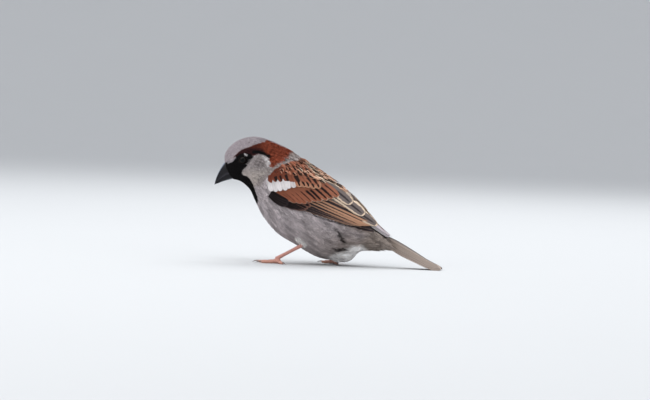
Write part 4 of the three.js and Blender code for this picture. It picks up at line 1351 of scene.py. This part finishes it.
def growWing(side):
    sign = -1 if side == "left" else 1
    section = sections["large"]
    points, faces, start = [], [], 0
    data = {"base": [], "core": [], "edge": [], "shape": [], "vane": []}
    patches = []
    # the tips that lie crossed over the rump are part of the left wing's piece
    groups = {k: g for k, g in wingGroups.items() if k != "crossedTips" or side == "left"}
    total = sum(g["count"] for g in groups.values())
    done = 0
    for name, g in groups.items():
        n = g["count"]
        t = np.linspace(0, 1, n)
        wobble = 0.18 * rng.standard_normal((n, 2))
        root, tip = evenly(g["roots"], n), evenly(g["tips"], n) + wobble
        line = tip - root
        length = np.linalg.norm(line, axis=1)
        bend = (root + tip) / 2 + g["bend"] * np.stack([-line[:, 1], line[:, 0]], -1) / length[:, None]
        steps = vaneSteps(g["rings"])
        middle = featherLine(root, bend, tip, steps)
        tangent = unit(np.gradient(middle, axis=1))
        across = np.stack([-tangent[..., 1], tangent[..., 0]], -1)
        width = (g["width"][0] + (g["width"][1] - g["width"][0]) * t) / 2
        v, h = section[:, 0], section[:, 1]
        outline = vaneOutline(steps, g["blunt"], 0.55)
        lobe = np.where(v < 0, g["outer"], 2 - g["outer"])
        ripple = 1 + 0.03 * np.sin(steps[None, :] * 60 + 6.28 * rng.random(n)[:, None])
        reach = (width[:, None] * outline * ripple)[..., None] * v * lobe
        flat = middle[:, :, None] + across[:, :, None] * reach[..., None]
        lo, hi = g["lift"]
        base = lo[0] + (hi[0] - lo[0]) * t[:, None]
        lift = base + (lo[1] + (hi[1] - lo[1]) * t[:, None] - base) * steps
        lift = (lift[..., None] + 0.16 * h * outline[:, None] - 0.22 * (v * np.abs(v) * 0.5 + 0.5 * v * v)
                * outline[:, None])
        placed = onWing(flat, side)
        body = flankPoint(placed, lift, sign)
        # the right wing's tip is carried across onto the rump
        body[..., 1] -= (sign > 0) * 4.5 * smooth(36, 50, placed[..., 0])
        vane = np.stack(np.broadcast_arrays(steps[None, :, None], v[None, None],
                                            (length / width)[:, None, None]), -1)
        made, marked = tubePoints(body), tubePoints(vane)
        perVane = made.shape[1]
        points.append(made.reshape(-1, 3))
        faces += [f + start for f in repeatFaces(tubeFaces(g["rings"], len(section)), n, perVane)]
        start += n * perVane
        tone, core, edge, coreW, edgeW, coreStart = wingTones(name, t, n)
        gain = 1 + 0.06 * rng.standard_normal((n, 1))
        data["base"].append(perPoint(rgba(tone * gain, length), perVane))
        data["core"].append(perPoint(rgba(core * gain), perVane))
        data["edge"].append(perPoint(rgba(edge * gain), perVane))
        data["shape"].append(perPoint(np.stack([coreW, edgeW, 0.93 * np.ones(n), coreStart], -1), perVane))
        data["vane"].append(marked.reshape(-1, 3))
        patches.append(stripPatch(done + np.arange(n), total, marked).reshape(-1, 2))
        done += n
    piece = makeMesh("feathersWing" + side.capitalize(), np.concatenate(points), faces,
                     np.concatenate(patches),
                     {k: np.concatenate(v) for k, v in data.items()}, plumageLook, flip=side == "right")
    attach(piece, "root")
    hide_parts("wing_" + side)
    print("wing", side, total, "feathers")


growWing("left")
growWing("right")

# tail: station x, upper z on the midline, lower z of the outer edge, half width; the tips of
# the inner and outer feathers; every pair lies one layer lower than the one inside it
tailForm = {
    "rows": np.array([(44, 22.0, 17.5, 3.6), (49, 20.2, 13.0, 5.0), (52.2, 19.0, 11.2, 5.5),
                      (58, 16.5, 8.8, 6.0), (64, 13.3, 6.4, 6.5),
                      (70, 9.9, 4.0, 7.0), (76, 6.3, 1.5, 7.6), (81, 3.9, 0.1, 7.9),
                      (85.4, 2.4, 0.05, 7.3)]),
    "pairs": 6, "innerTip": 83.0, "outerTip": 85.4, "layer": 0.15, "rootX": 45.5, "halfVane": 3.3,
            "rings": 34,
}


def growTail():
    g = tailForm
    section = sections["large"]
    count = 2 * g["pairs"]
    rank = np.repeat(np.arange(g["pairs"]), 2)[::-1].astype(float)
    sign = np.tile([-1.0, 1.0], g["pairs"])
    share = (rank + 0.5) / g["pairs"]
    tipX = g["innerTip"] + (g["outerTip"] - g["innerTip"]) * smooth(0, 0.8, share)
    steps = vaneSteps(g["rings"])
    x = g["rootX"] + (tipX[:, None] - g["rootX"]) * steps
    stationX = g["rows"][:, 0]
    upper = np.interp(x, stationX, g["rows"][:, 1])
    lower = np.interp(x, stationX, g["rows"][:, 2])
    width = np.interp(x, stationX, g["rows"][:, 3])
    half = np.minimum(g["halfVane"], width * 0.62)
    v, h = section[:, 0], section[:, 1]
    outline = vaneOutline(steps, 0.93, 0.6)
    lobe = np.where(v[None] * sign[:, None] > 0, 0.75, 1.15)
    y = (sign * share)[:, None] * np.maximum(width - half * 0.7, 0.5)
    reach = y[..., None] + (half * outline)[..., None] * (v * lobe)[:, None, :]
    arch = (upper - lower - 0.6)[..., None] * (reach / np.maximum(width, 1)[..., None]) ** 2
    z = upper[..., None] - arch - g["layer"] * rank[:, None, None] + 0.14 * h * outline[:, None] - 0.16
    grid = np.stack([x[..., None] + 0 * reach, reach,
                     np.maximum(z, 0.04 + 0.05 * (g["pairs"] - rank)[:, None, None])], -1)
    vane = np.stack(np.broadcast_arrays(steps[None, :, None], (v[None] * sign[:, None])[:, None], 12.0), -1)
    points, marked = tubePoints(grid), tubePoints(vane)
    perVane = points.shape[1]
    tone = mixed(np.repeat(tint["tail"][None], count, 0), tint["tailDark"], 0.25 * (rank > 3))
    edge = mixed(np.repeat(tint["tailEdge"][None], count, 0), tint["buff"], 0.2 + 0 * rank)
    data = {"base": perPoint(rgba(tone, 38.0), perVane),
            "core": perPoint(rgba(mixed(tone, tint["tailDark"], 0.9 + 0 * rank)), perVane),
            "edge": perPoint(rgba(edge), perVane), "vane": marked.reshape(-1, 3),
            "shape": perPoint(np.stack([0.44 + 0 * rank, 0.20 + 0 * rank, 0.96 + 0 * rank, -0.2 + 0 * rank],
                                       -1), perVane)}
    faces = repeatFaces(tubeFaces(g["rings"], len(section)), count, perVane)
    # vanes here run aft with the across line to +Y, so their tops face up as built
    piece = makeMesh("feathersTail", points, faces, stripPatch(np.arange(count), count, marked), data,
                     plumageLook)
    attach(piece, "root")
    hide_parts("tail")
    print("tail", count, "feathers")


growTail()


def buildStage():
    # pale floor, level out to flatRadius and then rising smoothly as a wide bowl
    lay = {"flatRadius": 2.6, "outer": 7.5, "height": 4.2, "tone": (0.585, 0.59, 0.595, 1)}
    r = np.concatenate([[0.02], np.linspace(0.2, lay["flatRadius"], 12),
                        np.linspace(lay["flatRadius"], lay["outer"], 40)[1:]])
    turn = np.linspace(0, 2 * math.pi, 96, endpoint=False)
    rise = lay["height"] * np.clip((r - lay["flatRadius"]) / (lay["outer"] - lay["flatRadius"]), 0, 1) ** 2.2
    grid = np.stack([r[:, None] * np.cos(turn), r[:, None] * np.sin(turn),
                     rise[:, None] * np.ones_like(turn)], -1)
    count = len(turn)
    j, k = np.meshgrid(np.arange(len(r) - 1), np.arange(count), indexing="ij")
    a, b = 1 + j * count + k, 1 + j * count + (k + 1) % count
    quads = np.stack([a, a + count, b + count, b], -1).reshape(-1, 4)
    k = np.arange(count)
    fan = np.stack([1 + k, 1 + (k + 1) % count, k * 0], -1)
    points = np.concatenate([[(0, 0, 0)], grid.reshape(-1, 3)]) / mm - (shiftX, shiftY, 0)
    f = Finish("paper", Roughness=0.9, Specular_IOR_Level=0.1)
    cloud = f.noise(f.place(), 6.0, 3.0)
    f.put(f.shader.inputs["Base Color"],
          f.mix(cloud, lay["tone"], tuple(0.985 * v for v in lay["tone"][:3]) + (1,)))
    floor = makeMesh("floor", points, [quads, fan], material=f.material)


buildStage()

lights = [
    # name, place round the bird in degrees, height in degrees, distance, size, power, colour
    ("sky", -10, 80, 1.5, 1.4, 9.5, (0.95, 0.98, 1.0)),
    ("window", -48, 34, 1.5, 1.1, 7.0, (1.0, 0.985, 0.96)),
    ("fill", 40, 14, 1.8, 1.6, 4.0, (1.0, 0.98, 0.97)),
    ("behind", 172, 52, 1.6, 1.2, 11.0, (0.97, 0.99, 1.0)),
]


def buildLights():
    target = np.array([0.0, 0.0, 0.04])
    for name, heading, height, distance, size, power, tone in lights:
        lamp = bpy.data.lights.new(name, "AREA")
        lamp.shape, lamp.size, lamp.energy, lamp.color = "DISK", size, power, tone
        a, e = math.radians(heading), math.radians(height)
        back = np.array([math.sin(a) * math.cos(e), -math.cos(a) * math.cos(e), math.sin(e)])
        place(lamp, name, target + back * distance, back, 0.0)
    world = bpy.data.worlds.new("room")
    bpy.context.scene.world = world
    world.use_nodes = True
    world.node_tree.nodes["Background"].inputs["Color"].default_value = (0.92, 0.95, 1.0, 1)
    world.node_tree.nodes["Background"].inputs["Strength"].default_value = 0.95


def place(data, name, at, back, roll):
    # an object that looks along -back; rolled, its right side turns that much towards up
    right = unit(np.cross((0, 0, 1.0), back))
    up = np.cross(back, right)
    c, sn = math.cos(roll), math.sin(roll)
    columns = np.stack([c * right + sn * up, -sn * right + c * up, back], -1)
    piece = bpy.data.objects.new(name, data)
    m = np.eye(4)
    m[:3, :3], m[:3, 3] = columns, at
    piece.matrix_world = Matrix(m.tolist())
    bpy.context.scene.collection.objects.link(piece)
    return piece


def buildCamera():
    view = {"azimuth": 8.0, "elevation": 2.0, "roll": 2.29, "distance": 1.5, "acrossMm": 390.0,
            "aimU": 13.47, "aimV": 38.6}
    a, e = math.radians(view["azimuth"]), math.radians(view["elevation"])
    back = np.array([math.sin(a) * math.cos(e), -math.cos(a) * math.cos(e), math.sin(e)])
    right = np.array([math.cos(a), math.sin(a), 0.0])
    up = np.cross(back, right)
    aim = toModel(view["aimU"] * right + view["aimV"] * up)
    lens = bpy.data.cameras.new("camera")
    lens.sensor_width = 36.0
    lens.lens = 36.0 * view["distance"] / (view["acrossMm"] * mm)
    lens.clip_start, lens.clip_end = 0.05, 50.0
    camera = place(lens, "camera", aim + back * view["distance"], back, math.radians(view["roll"]))
    bpy.context.scene.camera = camera


buildLights()
buildCamera()
bpy.context.scene.view_settings.view_transform = "Standard"
bpy.context.scene.view_settings.exposure = 0.0
print("stage, lights and camera")
